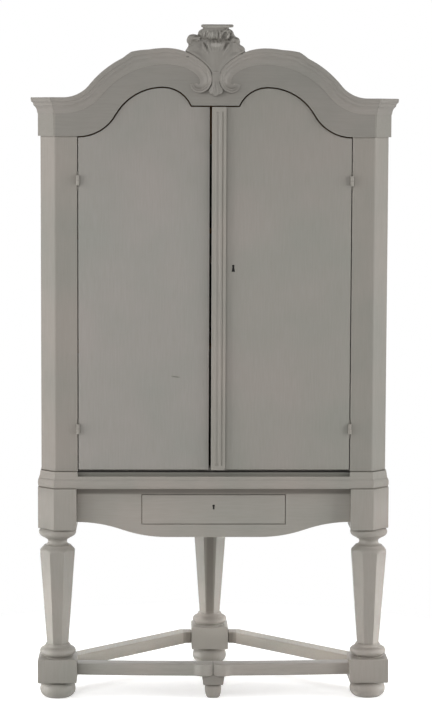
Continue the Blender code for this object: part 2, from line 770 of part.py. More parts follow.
def stand_top():
    """The board on the legs, with a moulded edge and a set-back sill under the doors."""
    base = STAND_TOP_Z + SEAT
    half = MOULDING_TORUS / 2
    profile = []
    for i in range(TORUS_STEPS + 1):
        angle = math.radians(TORUS_ANGLE * (2 * i / TORUS_STEPS - 1))
        profile.append((MOULDING_SWELL * (1 - math.cos(angle)), base + half + half * math.sin(angle)))
    profile.insert(0, (profile[0][0], base))
    profile.append((MOULDING_STEP, profile[-1][1]))
    profile.append((MOULDING_STEP + MOULDING_SLOPE, CASE_Z))
    right = [
        (STAND_X - BLOCK_CANT, 0.0),
        (STAND_X, BLOCK_CANT),
        (STAND_X, LEG_BLOCK),
        (STAND_WALL - STAND_DEPTH, STAND_DEPTH),
    ]
    outline = right + mirrored(right)
    sections = []
    for gap, z in profile:
        sections.append([(x, d, z) for x, d in inset(outline, gap)])
    made = loft("stand_top", sections, PAINT)
    sill = box(
        "sill_rebate",
        (-POST_INNER_X, POST_INNER_X),
        (-OVERLAP, SILL_SETBACK),
        (CASE_Z - SILL_HEIGHT, CASE_Z + OVERLAP),
    )
    cut(made, sill)


def drawer():
    """A side-hung drawer: its grooved sides ride on the two runners."""
    back = APRON_D[1] + SEAT
    end = APRON_D[1] + DRAWER_LENGTH
    keyhole_z = (DRAWER_Z + DRAWER_TOP_Z) / 2 + DRAWER_KEYHOLE_RISE
    front = box("drawer_front", (-DRAWER_X, DRAWER_X), APRON_D, (DRAWER_Z, DRAWER_TOP_Z), PAINT)
    ease(front, EDGE)
    keyhole(front, 0.0, keyhole_z, APRON_D[0], DRAWER_KEYHOLE_HEIGHT, DRAWER_KEYHOLE_FOOT)
    side_z = (DRAWER_Z + DRAWER_SIDE_TRIM, DRAWER_TOP_Z - DRAWER_SIDE_TRIM)
    inner = DRAWER_SIDE_X - DRAWER_SIDE
    for side, word in ((-1, "left"), (1, "right")):
        across = sorted((side * inner, side * DRAWER_SIDE_X))
        made = box(f"drawer_{word}_side", across, (back, end), side_z, BARE_WOOD)
        groove_x = sorted((side * (DRAWER_SIDE_X - GROOVE_DEPTH), side * (DRAWER_SIDE_X + OVERLAP)))
        groove_z = (RUNNER_Z - SLIDE_GAP, RUNNER_Z + RUNNER_HEIGHT + SEAT)
        cut(made, box(f"drawer_{word}_groove", groove_x, (back - OVERLAP, end + OVERLAP), groove_z))
    clear = inner - SEAT
    floor_z = side_z[0] + DRAWER_BOTTOM
    box("drawer_bottom", (-clear, clear), (back, end), (side_z[0], floor_z), BARE_WOOD)
    box("drawer_back", (-clear, clear), (end - DRAWER_SIDE, end), (floor_z + SEAT, side_z[1]), BARE_WOOD)
    drawer_lock(back, side_z[1])


def drawer_lock(front, top):
    """A till lock on the drawer front, whose bolt rises behind the apron."""
    half = DRAWER_LOCK_WIDTH / 2
    deep = (front, front + DRAWER_LOCK_THICKNESS)
    case = box("drawer_lock", (-half, half), deep, (top - DRAWER_LOCK_HEIGHT, top), IRON)
    half = DRAWER_BOLT_WIDTH / 2
    middle = sum(deep) / 2
    deep = (middle - DRAWER_BOLT_THICKNESS / 2, middle + DRAWER_BOLT_THICKNESS / 2)
    low = top - DRAWER_BOLT_HEIGHT
    box("drawer_lock_bolt", (-half, half), deep, (low, top), IRON)
    cut(
        case,
        box(
            "drawer_lock_channel",
            (-half - SEAT, half + SEAT),
            (deep[0] - SEAT, deep[1] + SEAT),
            (low - SEAT, top + OVERLAP),
        ),
    )


def rod(name, x, d, z, radius, axis="Z", look=None, steps=ROD_STEPS):
    """A round bar along one axis, between the two values given for that axis."""
    ends = {"X": x, "Y": d, "Z": z}[axis]
    shape = bmesh.new()
    bmesh.ops.create_cone(
        shape,
        cap_ends=True,
        segments=steps,
        radius1=radius,
        radius2=radius,
        depth=ends[1] - ends[0],
    )
    mesh = bpy.data.meshes.new(name)
    shape.to_mesh(mesh)
    shape.free()
    smooth(mesh)
    made = make(name, mesh, look)
    middle = sum(ends) / 2
    place = {"X": (middle, d, z), "Y": (x, middle, z), "Z": (x, d, middle)}[axis]
    made.location = (place[0], place[1] - MIDDLE_D, place[2])
    made.rotation_euler = {
        "X": (0.0, math.pi / 2, 0.0),
        "Y": (math.pi / 2, 0.0, 0.0),
        "Z": (0.0, 0.0, 0.0),
    }[axis]
    return made


def keyhole(target, x, z, front, height, foot):
    """A keyhole let into a front: a round eye above a slot that flares to its foot."""
    deep = (front - OVERLAP, front + KEYHOLE_DEPTH)
    eye_z = z + height / 2 - KEYHOLE_RADIUS
    eye = rod(target.name + "_key_eye", x, deep, eye_z, KEYHOLE_RADIUS, "Y")
    low = z - height / 2
    outline = [
        (x - foot / 2, low),
        (x + foot / 2, low),
        (x + KEYHOLE_SLOT / 2, eye_z),
        (x - KEYHOLE_SLOT / 2, eye_z),
    ]
    slot = panel(target.name + "_key_slot", outline, deep)
    cut(target, eye, slot)


def post_inner_x(d):
    """Where the slanted inner face of the right-hand post lies at a depth."""
    start = CASE_SETBACK + POST_THICKNESS
    share = (d - start) / (POST_RETURN - start)
    return POST_INNER_X + share * (PANEL_INNER - POST_RETURN - POST_INNER_X)


def case_walls():
    """Canted corner posts, the two back panels along the walls and the rear post."""
    level = (CASE_FLOOR_Z, CASE_TOP_Z)
    post = [
        (POST_INNER_X, CASE_SETBACK),
        (CANT_X, CASE_SETBACK),
        (CASE_X, CANT_END_D),
        (CASE_X, POST_RETURN),
        (PANEL_INNER - POST_RETURN, POST_RETURN),
        (POST_INNER_X, CASE_SETBACK + POST_THICKNESS),
    ]
    front = POST_RETURN + SEAT
    back = REAR_POST_X + SEAT
    wall = [
        (PANEL_INNER - front, front),
        (CASE_WALL - front, front),
        (back, CASE_WALL - back),
        (back, PANEL_INNER - back),
    ]
    for word, turn in (("right", list), ("left", mirrored)):
        ease(slab(word + "_post", turn(post), level, PAINT), POST_EDGE)
        slab(word + "_back_panel", turn(wall), level, PAINT)
    box("rear_post", (-REAR_POST_X, REAR_POST_X), (REAR_POST_D, REAR_POST_BACK), level, PAINT)


def inside_outline(front):
    """The space inside the case from above, starting at a depth."""
    start = max(front, CASE_SETBACK + POST_THICKNESS)
    right = [
        (post_inner_x(start), start),
        (PANEL_INNER - POST_RETURN, POST_RETURN),
        (PANEL_INNER - REAR_POST_D, REAR_POST_D),
    ]
    if front < start:
        right.insert(0, (POST_INNER_X, front))
    return inset(right + mirrored(right), SEAT)


def case_boards():
    """Floor, top, the head that the doors close against, and two shelves on battens."""
    slab("bottom_board", inside_outline(DOOR_BACK_D), (CASE_FLOOR_Z, CASE_FLOOR_Z + BOARD), PAINT)
    head_d = (DOOR_BACK_D + SEAT, DOOR_BACK_D + SEAT + HEAD_THICKNESS)
    front = head_d[1] + SEAT
    right = [
        (min(CANT_X + front - CASE_SETBACK, CASE_X), front),
        (CASE_X, max(CANT_END_D, front + SEAT)),
        (CASE_X, POST_RETURN),
        (REAR_POST_X, REAR_POST_BACK),
    ]
    slab("top_board", right + mirrored(right), (CASE_TOP_Z + SEAT, CASE_TOP_Z + SEAT + BOARD), PAINT)
    side = POST_INNER_X - SEAT
    right = [
        (side, DOOR_SIDE_Z - HEAD_DROP),
        (side, CASE_TOP_Z),
        (HEAD_SHOULDER, DOOR_PEAK_Z + HEAD_COVER),
    ]
    panel("head_rail", right + mirrored(right), head_d, BARE_WOOD)
    outer = PANEL_INNER - SEAT * math.sqrt(2)
    inner = outer - BATTEN_WIDTH * math.sqrt(2)
    start = POST_RETURN + BATTEN_CLEARANCE
    stop = REAR_POST_D - BATTEN_CLEARANCE
    batten = [(inner - start, start), (outer - start, start), (outer - stop, stop), (inner - stop, stop)]
    for word, height in (("lower", LOWER_SHELF_HEIGHT), ("upper", UPPER_SHELF_HEIGHT)):
        z = CASE_FLOOR_Z + height
        slab(word + "_shelf", inside_outline(SHELF_SETBACK), (z, z + BOARD), BARE_WOOD)
        level = (z - SEAT - BATTEN_HEIGHT, z - SEAT)
        slab(word + "_right_batten", batten, level, BARE_WOOD)
        slab(word + "_left_batten", mirrored(batten), level, BARE_WOOD)


def door_outline(meeting_x):
    """A right-hand door from the front, from its meeting edge to its hinged edge."""
    arch = [point for point in door_line(0.0) if point[0] < DOOR_EDGE_X]
    foot = [(meeting_x, DOOR_Z), (DOOR_EDGE_X, DOOR_Z), (DOOR_EDGE_X, DOOR_SIDE_Z)]
    return foot + arch + [(meeting_x, DOOR_FLAT_Z)]


def doors():
    deep = (CASE_SETBACK, DOOR_BACK_D)
    right = panel("right_door", door_outline(MEETING_X), deep, PAINT_DOOR)
    left = panel("left_door", mirrored(door_outline(-LEFT_DOOR_X)), deep, PAINT_DOOR)
    ease(right, EDGE)
    ease(left, EDGE)
    keyhole(right, DOOR_KEYHOLE_X, LOCK_Z, CASE_SETBACK, DOOR_KEYHOLE_HEIGHT, DOOR_KEYHOLE_FOOT)
    astragal()
    door_lock()
    flush_bolt(left)


def astragal():
    """The fluted strip that covers the meeting edge of the right-hand door."""
    back = CASE_SETBACK - SEAT
    front = back - ASTRAGAL_THICKNESS
    level = (DOOR_Z, DOOR_FLAT_Z)
    made = box("astragal", (MEETING_X, MEETING_X + ASTRAGAL_WIDTH), (front, back), level, PAINT)
    ease(made, EDGE)
    flutes = {
        "wide": (WIDE_FLUTE_INSET, WIDE_FLUTE_WIDTH),
        "narrow": (NARROW_FLUTE_INSET, NARROW_FLUTE_WIDTH),
    }
    for word, (along, width) in flutes.items():
        sink = min(ASTRAGAL_FLUTE, width / 2)
        radius = (width**2 / 4 + sink**2) / (2 * sink)
        reach = (level[0] + FLUTE_STOP, level[1] - FLUTE_STOP)
        place = (MEETING_X + along, front + sink - radius)
        cut(made, rod(f"astragal_{word}_flute", *place, reach, radius, steps=FLUTE_STEPS))


def door_lock():
    """A rim lock behind the right-hand door, whose bolt slides behind the left one."""
    deep = (DOOR_BACK_D + SEAT, DOOR_BACK_D + SEAT + DOOR_LOCK_THICKNESS)
    half = DOOR_LOCK_SIZE / 2
    left = MEETING_X + DOOR_LOCK_INSET
    case = box("door_lock", (left, left + DOOR_LOCK_SIZE), deep, (LOCK_Z - half, LOCK_Z + half), IRON)
    middle = sum(deep) / 2
    deep = (middle - DOOR_BOLT_THICKNESS / 2, middle + DOOR_BOLT_THICKNESS / 2)
    bolt_z = LOCK_Z + DOOR_BOLT_RISE
    level = (bolt_z - DOOR_BOLT_HEIGHT / 2, bolt_z + DOOR_BOLT_HEIGHT / 2)
    tip = MEETING_X - DOOR_BOLT_SHOWING
    box("door_lock_bolt", (tip, tip + DOOR_BOLT_LENGTH), deep, level, IRON)
    cut(
        case,
        box(
            "door_lock_channel",
            (tip - OVERLAP, tip + DOOR_BOLT_LENGTH + SEAT),
            (deep[0] - SEAT, deep[1] + SEAT),
            (level[0] - SEAT, level[1] + SEAT),
        ),
    )


def flush_bolt(door):
    """A sliding bolt let into the back of the left-hand door, which shoots up into the frieze."""
    half = FLUSH_BOLT_WIDTH / 2
    across = (FLUSH_BOLT_X - half, FLUSH_BOLT_X + half)
    deep = (DOOR_BACK_D - SEAT - FLUSH_BOLT_THICKNESS, DOOR_BACK_D - SEAT)
    top = DOOR_FLAT_Z - SEAT
    low = top - FLUSH_BOLT_LENGTH
    bolt = box("left_door_bolt", across, deep, (low, top), IRON)
    knob_z = low + FLUSH_KNOB_RISE
    knob_d = (deep[0] + OVERLAP / 2, deep[1] + FLUSH_KNOB_REACH)
    knob_radius = min(FLUSH_KNOB_RADIUS, half - SEAT)
    join(bolt, rod("left_door_bolt_knob", FLUSH_BOLT_X, knob_d, knob_z, knob_radius, "Y"))
    groove = box(
        "left_door_groove",
        (across[0] - SEAT, across[1] + SEAT),
        (deep[0] - SEAT, DOOR_BACK_D + OVERLAP),
        (low - SEAT, top + OVERLAP),
    )
    cut(door, groove)


def bolt_pocket():
    """The hole in the frieze that the left door's bolt shoots into."""
    half = FLUSH_BOLT_WIDTH / 2 + SLIDE_GAP
    top = DOOR_FLAT_Z - SEAT + FLUSH_BOLT_TRAVEL + SLIDE_GAP
    return box(
        "bolt_pocket",
        (FLUSH_BOLT_X - half, FLUSH_BOLT_X + half),
        (DOOR_BACK_D - SEAT - FLUSH_BOLT_THICKNESS - SLIDE_GAP, DOOR_BACK_D + OVERLAP),
        (top - FLUSH_BOLT_TRAVEL - OVERLAP, top),
    )


def hinges():
    """Four pin hinges: a leaf with the pin on each post, and a bored leaf on each door."""
    half = KNUCKLE_LENGTH / 2
    leaf_d = (CASE_SETBACK - SEAT, CASE_SETBACK + HINGE_LEAF_DEPTH)
    for side, word in ((-1, "left"), (1, "right")):
        x = side * HINGE_X
        heights = {"lower": CASE_Z + LOWER_HINGE_RISE, "upper": DOOR_SIDE_Z - UPPER_HINGE_DROP}
        for place, z in heights.items():
            name = f"{word}_{place}"
            level = (z - HINGE_LEAF_HEIGHT / 2, z + HINGE_LEAF_HEIGHT / 2)
            post_face = side * (POST_INNER_X - SEAT)
            post_leaf = sorted((post_face, post_face - side * HINGE_LEAF))
            made = box(name + "_post_hinge", post_leaf, leaf_d, level, PAINTED_IRON)
            low = (z - half, z - SEAT / 2)
            tab = box(name + "_post_tab", post_leaf, (HINGE_D, CASE_SETBACK + SLIDE_GAP), low)
            knuckle = rod(name + "_post_knuckle", x, HINGE_D, low, KNUCKLE_RADIUS, steps=KNUCKLE_STEPS)
            pin = rod(name + "_pin", x, HINGE_D, (z - half / 2, z + half - SEAT), HINGE_PIN_RADIUS)
            join(made, tab, knuckle, pin)
            door_face = side * (DOOR_EDGE_X + SEAT)
            door_leaf = sorted((door_face, door_face + side * HINGE_LEAF))
            made = box(name + "_door_hinge", door_leaf, leaf_d, level, PAINTED_IRON)
            high = (z + SEAT / 2, z + half)
            tab = box(name + "_door_tab", door_leaf, (HINGE_D, CASE_SETBACK + SLIDE_GAP), high)
            knuckle = rod(name + "_door_knuckle", x, HINGE_D, high, KNUCKLE_RADIUS, steps=KNUCKLE_STEPS)
            join(made, tab, knuckle)
            reach = (z - half, z + KNUCKLE_LENGTH)
            cut(made, rod(name + "_bore", x, HINGE_D, reach, HINGE_PIN_RADIUS + PIN_CLEARANCE))


def cornice_section(outer, inner, mitre=0.0):
    """The moulding across the frieze, between a point of its outer edge and one of its inner edge."""
    section = []
    for across, reach in CORNICE_SECTION:
        x, z = Vector(outer).lerp(Vector(inner), across)
        proud = SEAT + reach * CORNICE_REACH
        section.append((x + mitre * proud, FRIEZE_D - proud, z))
    return section


def volute_start():
    """From the scroll's eye to the point where the arch becomes the scroll."""
    arch_end = around(CORNICE_ARCH.inner_centre, CORNICE_ARCH.inner, VOLUTE_ARC_ANGLE)
    return Vector(arch_end) - Vector(VOLUTE_EYE)


def volute_radius(angle):
    """The scroll's outer edge about its eye: it closes in as it turns."""
    first = volute_start()
    fade = math.exp(-VOLUTE_DECAY_RATIO * (math.radians(angle) - math.atan2(first.y, first.x)))
    return VOLUTE_LAST_RADIUS + (first.length - VOLUTE_LAST_RADIUS) * fade


def volute_edge(clearance, end_angle, count):
    """The outer edge of the right-hand scroll from the end of the arch."""
    first = volute_start()
    start = math.degrees(math.atan2(first.y, first.x))
    points = []
    for i in range(count + 1):
        angle = start + (end_angle - start) * i / count
        points.append(around(VOLUTE_EYE, volute_radius(angle) + clearance, angle))
    return points


def cornice_edges():
    """Pairs of outer and inner points along the right-hand arched moulding, from its foot to the eye."""
    eye = Vector(VOLUTE_EYE)
    pairs = [((FRIEZE_X, CORNICE_END_Z), (FRIEZE_X, CORNICE_END_Z - CORNICE_WIDTH))]
    outer_line = CORNICE_ARCH.line(0.0, VOLUTE_ARC_ANGLE)
    inner_line = CORNICE_ARCH.line(-CORNICE_WIDTH, VOLUTE_ARC_ANGLE)
    crown = Vector(CORNICE_ARCH.inner_centre)
    for outer, inner in zip(outer_line, inner_line):
        outer = Vector(outer)
        turn = math.degrees(math.atan2(outer.y - crown.y, outer.x - crown.x))
        lean = max(0.0, (turn - VOLUTE_BLEND_ANGLE) / (VOLUTE_ARC_ANGLE - VOLUTE_BLEND_ANGLE))
        straight = (Vector(inner) - outer).normalized()
        to_eye = (eye - outer).normalized()
        way = straight.lerp(to_eye, min(lean, 1.0)).normalized()
        pairs.append((tuple(outer), tuple(outer + way * CORNICE_WIDTH)))
    for outer in volute_edge(0.0, VOLUTE_END_ANGLE, VOLUTE_STEPS)[1:]:
        way = eye - Vector(outer)
        across = min(CORNICE_WIDTH, VOLUTE_FILL_SHARE * way.length)
        pairs.append((outer, tuple(Vector(outer) + way.normalized() * across)))
    return pairs


def flipped(sections):
    return [[(-x, d, z) for x, d, z in section] for section in sections]


def cornice():
    pairs = cornice_edges()
    right = [cornice_section(*pairs[0], mitre=MITRE)]
    right[0] = [(x - SEAT, d, z) for x, d, z in right[0]]
    right += [cornice_section(*pair) for pair in pairs[1:]]
    loft("right_cornice", right, PAINT)
    loft("left_cornice", flipped(right), PAINT)
    corners = (
        ((FRIEZE_X, FRIEZE_D), (MITRE, -1.0)),
        ((CASE_X + FRIEZE_PROUD, CANT_END_D - FRIEZE_PROUD * MITRE), (1.0, -MITRE)),
        ((CASE_X + FRIEZE_PROUD, POST_RETURN), (1.0, 0.0)),
    )
    right = []
    for (x, d), (out_x, out_d) in corners:
        section = []
        for across, reach in CORNICE_SECTION:
            proud = SEAT + reach * CORNICE_REACH
            z = CORNICE_END_Z - across * CORNICE_WIDTH
            section.append((x + out_x * proud, d + out_d * proud, z))
        right.append(section)
    loft("right_cornice_return", right, PAINT)
    loft("left_cornice_return", flipped(right), PAINT)


def frieze():
    """The arched board over the doors, and the strips that carry it round the canted corners."""
    foot_z = DOOR_SIDE_Z + TOP_GAP
    top_z = CORNICE_END_Z - FRIEZE_LIP
    lower = [(FRIEZE_JOINT_X, foot_z)] + door_line(TOP_GAP)
    upper = [(FRIEZE_JOINT_X, top_z)] + CORNICE_ARCH.line(-FRIEZE_LIP, FRIEZE_ARC_ANGLE)
    right = lower[::-1] + upper
    board = panel("frieze_board", right + mirrored(right), (FRIEZE_D, DOOR_BACK_D), PAINT)
    for side, word in ((-1, "left"), (1, "right")):
        across = sorted((side * (POST_INNER_X - SEAT), side * STAND_X))
        notch = box(
            f"{word}_post_notch",
            across,
            (CASE_SETBACK - SEAT, DOOR_BACK_D + OVERLAP),
            (foot_z - OVERLAP, top_z + OVERLAP + CORNICE_WIDTH),
        )
        cut(board, notch)
    cut(board, bolt_pocket())
    near = FRIEZE_JOINT_X + SEAT
    strip = [
        (near, FRIEZE_D),
        (FRIEZE_X, FRIEZE_D),
        (CASE_X + FRIEZE_PROUD, CANT_END_D - FRIEZE_PROUD * MITRE),
        (CASE_X + FRIEZE_PROUD, POST_RETURN),
        (CASE_X + SEAT, POST_RETURN),
        (CASE_X + SEAT, CANT_END_D - SEAT * MITRE),
        (CANT_X + SEAT * MITRE, CASE_SETBACK - SEAT),
        (near, CASE_SETBACK - SEAT),
    ]
    slab("right_frieze_return", strip, (foot_z, top_z), PAINT)
    slab("left_frieze_return", mirrored(strip), (foot_z, top_z), PAINT)


def ellipsoid(name, centre, radii):
    shape = bmesh.new()
    bmesh.ops.create_uvsphere(shape, u_segments=LOBE_SEGMENTS, v_segments=LOBE_RINGS, radius=1.0)
    bmesh.ops.scale(shape, vec=radii, verts=shape.verts)
    mesh = bpy.data.meshes.new(name)
    shape.to_mesh(mesh)
    shape.free()
    made = helper(name, mesh)
    made.location = (centre[0], centre[1] - MIDDLE_D, centre[2])
    return made


def crest():
    """The carved crest between the scrolls: a leaf body, a rolled head with lobes and a flat cap."""
    foot = (CREST_STEM_WIDTH / 2, CORNICE_END_Z + CREST_FOOT_RISE)
    scroll = volute_edge(CREST_CLEARANCE, CREST_END_ANGLE, CREST_SCROLL_STEPS)[::-1]
    reach = CORNICE_ARCH.inner + CREST_CLEARANCE
    over = arc(CORNICE_ARCH.inner_centre, reach, VOLUTE_ARC_ANGLE, CREST_ARC_ANGLE, CREST_ARC_STEPS)
    head_z = CORNICE_END_Z + CREST_HEAD_RISE
    top_z = CORNICE_END_Z + CREST_RISE - CAP_THICKNESS
    head = [
        (CREST_SHOULDER_WIDTH / 2, CORNICE_END_Z + CREST_SHOULDER_RISE + LOBE_RADIUS / 2),
        (CREST_HEAD_WIDTH / 2, head_z),
        (CREST_HEAD_WIDTH / 2 - LOBE_RADIUS / 2, head_z + LOBE_RADIUS),
        (ROLL_WIDTH / 2, head_z + LOBE_RADIUS),
        (ROLL_WIDTH / 2 - LOBE_RADIUS / 4, top_z + CAP_THICKNESS / 2),
    ]
    right = [foot] + scroll + over[1:] + head
    back = FRIEZE_D - SEAT
    made = panel("crest", right + mirrored(right), (back - CREST_THICKNESS, back), PAINT)
    roll_z = top_z - ROLL_RADIUS + CAP_THICKNESS / 2
    roll_d = FRONT_D + ROLL_RADIUS + SLIDE_GAP
    pitch = ROLL_WIDTH / ROLL_LOBES
    for i in range(ROLL_LOBES):
        x = (i - (ROLL_LOBES - 1) / 2) * pitch
        radii = (pitch * FLUTE_SPREAD_SHARE, ROLL_RADIUS, ROLL_RADIUS)
        join(made, ellipsoid(f"crest_flute_{i}", (x, roll_d, roll_z), radii))
    for side in (-1, 1):
        x = side * (CREST_HEAD_WIDTH / 2 - LOBE_RADIUS * LOBE_INSET_SHARE)
        place = (x, back - CREST_THICKNESS, head_z + LOBE_RADIUS * LOBE_RISE_SHARE)
        radii = (LOBE_RADIUS, LOBE_RADIUS * LOBE_DEPTH_SHARE, LOBE_RADIUS * LOBE_HEIGHT_SHARE)
        join(made, ellipsoid(f"crest_lobe_{side}", place, radii))
    half = CAP_WIDTH / 2
    cap = box("crest_cap", (-half, half), (FRONT_D, FRONT_D + CAP_DEPTH), (top_z, top_z + CAP_THICKNESS))
    join(made, cap)


def pivot(name, x, d, z, names):
    """An empty on a joint's axis that carries the pieces that move with it."""
    axis = bpy.data.objects.new(name, None)
    PARTS.objects.link(axis)
    axis.location = (x, d - MIDDLE_D, z)
    for child in names:
        carried = bpy.data.objects[child]
        carried.parent = axis
        carried.matrix_parent_inverse = Matrix.Translation(axis.location).inverted()


def joints():
    left = ["left_door", "left_door_bolt", "left_lower_door_hinge", "left_upper_door_hinge"]
    right = ["right_door", "astragal", "door_lock", "door_lock_bolt"]
    right += ["right_lower_door_hinge", "right_upper_door_hinge"]
    box_names = ["drawer_front", "drawer_left_side", "drawer_right_side", "drawer_bottom", "drawer_back"]
    pivot("left_door_axis", -HINGE_X, HINGE_D, CASE_Z, left)
    pivot("right_door_axis", HINGE_X, HINGE_D, CASE_Z, right)
    pivot("drawer_axis", 0.0, APRON_D[0], DRAWER_Z, box_names + ["drawer_lock", "drawer_lock_bolt"])


clear_scene()
PARTS = new_collection("corner_cabinet")
CUTTERS = new_collection("cutters")
legs_and_feet()
stretchers()
apron_and_rails()
stand_top()
drawer()
case_walls()
case_boards()
doors()
hinges()
frieze()
cornice()
crest()
joints()
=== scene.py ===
import math

import bmesh
import bpy
from mathutils import Matrix, Vector

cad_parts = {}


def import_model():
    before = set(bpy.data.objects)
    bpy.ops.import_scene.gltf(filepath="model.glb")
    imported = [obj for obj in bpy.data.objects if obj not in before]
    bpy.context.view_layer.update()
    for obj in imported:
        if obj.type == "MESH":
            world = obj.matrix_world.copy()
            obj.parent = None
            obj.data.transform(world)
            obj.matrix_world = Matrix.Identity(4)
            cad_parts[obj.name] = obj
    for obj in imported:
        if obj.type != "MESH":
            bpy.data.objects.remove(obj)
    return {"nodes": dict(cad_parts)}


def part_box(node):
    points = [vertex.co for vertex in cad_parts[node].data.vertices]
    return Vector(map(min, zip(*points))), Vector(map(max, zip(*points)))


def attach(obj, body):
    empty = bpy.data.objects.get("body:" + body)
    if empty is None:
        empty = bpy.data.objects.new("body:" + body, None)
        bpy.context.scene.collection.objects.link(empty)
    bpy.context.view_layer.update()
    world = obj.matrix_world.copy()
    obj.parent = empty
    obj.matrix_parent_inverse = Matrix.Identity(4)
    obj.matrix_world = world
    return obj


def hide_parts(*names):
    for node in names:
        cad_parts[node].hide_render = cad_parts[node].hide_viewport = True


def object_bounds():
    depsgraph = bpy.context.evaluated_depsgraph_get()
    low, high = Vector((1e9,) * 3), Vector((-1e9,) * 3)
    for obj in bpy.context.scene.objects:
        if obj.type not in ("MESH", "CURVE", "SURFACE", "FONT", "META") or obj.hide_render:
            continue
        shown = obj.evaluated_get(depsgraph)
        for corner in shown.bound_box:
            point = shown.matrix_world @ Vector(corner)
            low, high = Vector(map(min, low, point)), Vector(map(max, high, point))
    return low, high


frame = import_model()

NODES = frame["nodes"]
CAD_BOX = [list(corner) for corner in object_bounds()]

# Sizes of the CAD part that the finer pieces repeat, in metres
MIDDLE_D = 0.296
SEAT = 0.0003
LEG_HALF = 0.0625
LEG_X = 0.5025
REAR_LEG_D = 0.5625
BLOCK_CANT = 0.053
LOWER_BLOCK_Z = (0.0543, 0.132)
UPPER_BLOCK_Z = (0.552, 0.686)
CORNICE_END_Z = 1.9303
FRIEZE_D = 0.007
FRIEZE_X = 0.51031
FRIEZE_SIDE_X = 0.5615
FRIEZE_SIDE_D = 0.05819
POST_RETURN = 0.126
CORNICE_FOOT_X = 0.479
CORNICE_PEAK_X = 0.155
CORNICE_RISE = 0.155
CORNICE_SHARE = 0.745
CORNICE_INNER_RADIUS = 0.17
CORNICE_WIDTH = 0.05
VOLUTE_ARC_X = 0.039
VOLUTE_EYE = (0.054, CORNICE_END_Z + 0.046)
VOLUTE_END_ANGLE = 352.0
VOLUTE_LAST_RADIUS = 0.0235
VOLUTE_DECAY = 0.67
VOLUTE_FILL = 0.86
MITRE = math.tan(math.pi / 8)

# The photograph's frame and camera
IMAGE_HEIGHT = 720
FOCAL_PIXELS = 2400.0
CAMERA_PLACE = (-0.18869, -7.89089, 1.84314)
CAMERA_YAW = -0.02546
CAMERA_PITCH = -0.09731
CAMERA_ROLL = 0.00392
SENSOR = 36.0


def mm(table):
    """Millimetres, one number or nested rows of them, as metres."""
    if isinstance(table, tuple):
        return tuple(mm(entry) for entry in table)
    return table / 1000


def srgb(*channels):
    """A colour in 0 to 255, through the sRGB curve, as the linear values that Blender wants."""
    linear = []
    for channel in channels:
        value = channel / 255
        linear.append(value / 12.92 if value <= 0.04045 else ((value + 0.055) / 1.055) ** 2.4)
    return (*linear, 1.0)


class Graph:
    """Short calls for building the nodes of a material or a world."""

    def __init__(self, name, kind=bpy.data.materials):
        self.owner = kind.new(name)
        self.owner.use_nodes = True
        self.tree = self.owner.node_tree

    def node(self, kind, inputs=None, **settings):
        made = self.tree.nodes.new("ShaderNode" + kind)
        for key, value in settings.items():
            setattr(made, key, value)
        for key, value in (inputs or {}).items():
            self.put(made.inputs[key], value)
        return made

    def put(self, socket, value):
        if isinstance(value, bpy.types.NodeSocket):
            self.tree.links.new(value, socket)
        else:
            socket.default_value = value

    def fill(self, name, inputs):
        """Fills a node that the owner came with."""
        made = self.tree.nodes[name]
        for key, value in inputs.items():
            self.put(made.inputs[key], value)
        return made

    def surface(self, inputs):
        """Fills a material's own shader and gives the material."""
        self.fill("Principled BSDF", inputs)
        return self.owner

    def seen(self):
        """1 for what is seen, straight on or by reflection, and 0 for what only lights."""
        light = self.node("LightPath").outputs
        return self.most(light["Is Camera Ray"], light["Is Glossy Ray"], light["Is Transmission Ray"])

    def coords(self, kind):
        return self.node("TexCoord").outputs[kind]

    def parts(self, kind="Object"):
        """A place, or another coordinate, as its X, Y and Z."""
        return self.node("SeparateXYZ", {"Vector": self.coords(kind)}).outputs

    def noise(self, scale=(1.0, 1.0, 1.0), size=1.0, detail=4.0, rough=0.55, distortion=0.0):
        mapping = self.node("Mapping", {"Vector": self.coords("Object"), "Scale": scale})
        inputs = {"Vector": mapping.outputs["Vector"], "Scale": size, "Detail": detail}
        inputs.update({"Roughness": rough, "Distortion": distortion})
        return self.node("TexNoise", inputs).outputs["Fac"]

    def ramp(self, value, low, high, start=0.0, end=1.0):
        inputs = {"Value": value, "From Min": low, "From Max": high, "To Min": start, "To Max": end}
        return self.node("MapRange", inputs).outputs["Result"]

    def math(self, operation, first, second):
        return self.node("Math", {0: first, 1: second}, operation=operation).outputs[0]

    def times(self, first, *others):
        for other in others:
            first = self.math("MULTIPLY", first, other)
        return first

    def most(self, first, *others):
        for other in others:
            first = self.math("MAXIMUM", first, other)
        return first

    def off(self, value, middle=0.0):
        """How far a value is from a middle, on either side."""
        return self.math("ABSOLUTE", self.math("SUBTRACT", value, middle), 0.0)

    def mix(self, share, first, second, blend="MIX"):
        inputs = {"Factor": share, "A": first, "B": second}
        return self.node("Mix", inputs, data_type="RGBA", blend_type=blend).outputs["Result"]

    def bump(self, height, strength, distance):
        inputs = {"Height": height, "Strength": strength, "Distance": distance}
        return self.node("Bump", inputs).outputs["Normal"]

    def crevice(self, distance, low, high):
        """1 in a crease and 0 on an open face, from ambient occlusion; it masks the painted shade in
        creases.
        """
        made = self.node("AmbientOcclusion", {"Distance": distance}, samples=8)
        return self.ramp(made.outputs["AO"], high, low)

    def edge(self, radius, low, high):
        """1 along a sharp edge and 0 on a flat face."""
        rounded = self.node("Bevel", {"Radius": radius}, samples=6).outputs["Normal"]
        plain = self.node("NewGeometry").outputs["Normal"]
        turn = self.node("VectorMath", {0: rounded, 1: plain}, operation="DOT_PRODUCT")
        return self.ramp(turn.outputs["Value"], high, low)


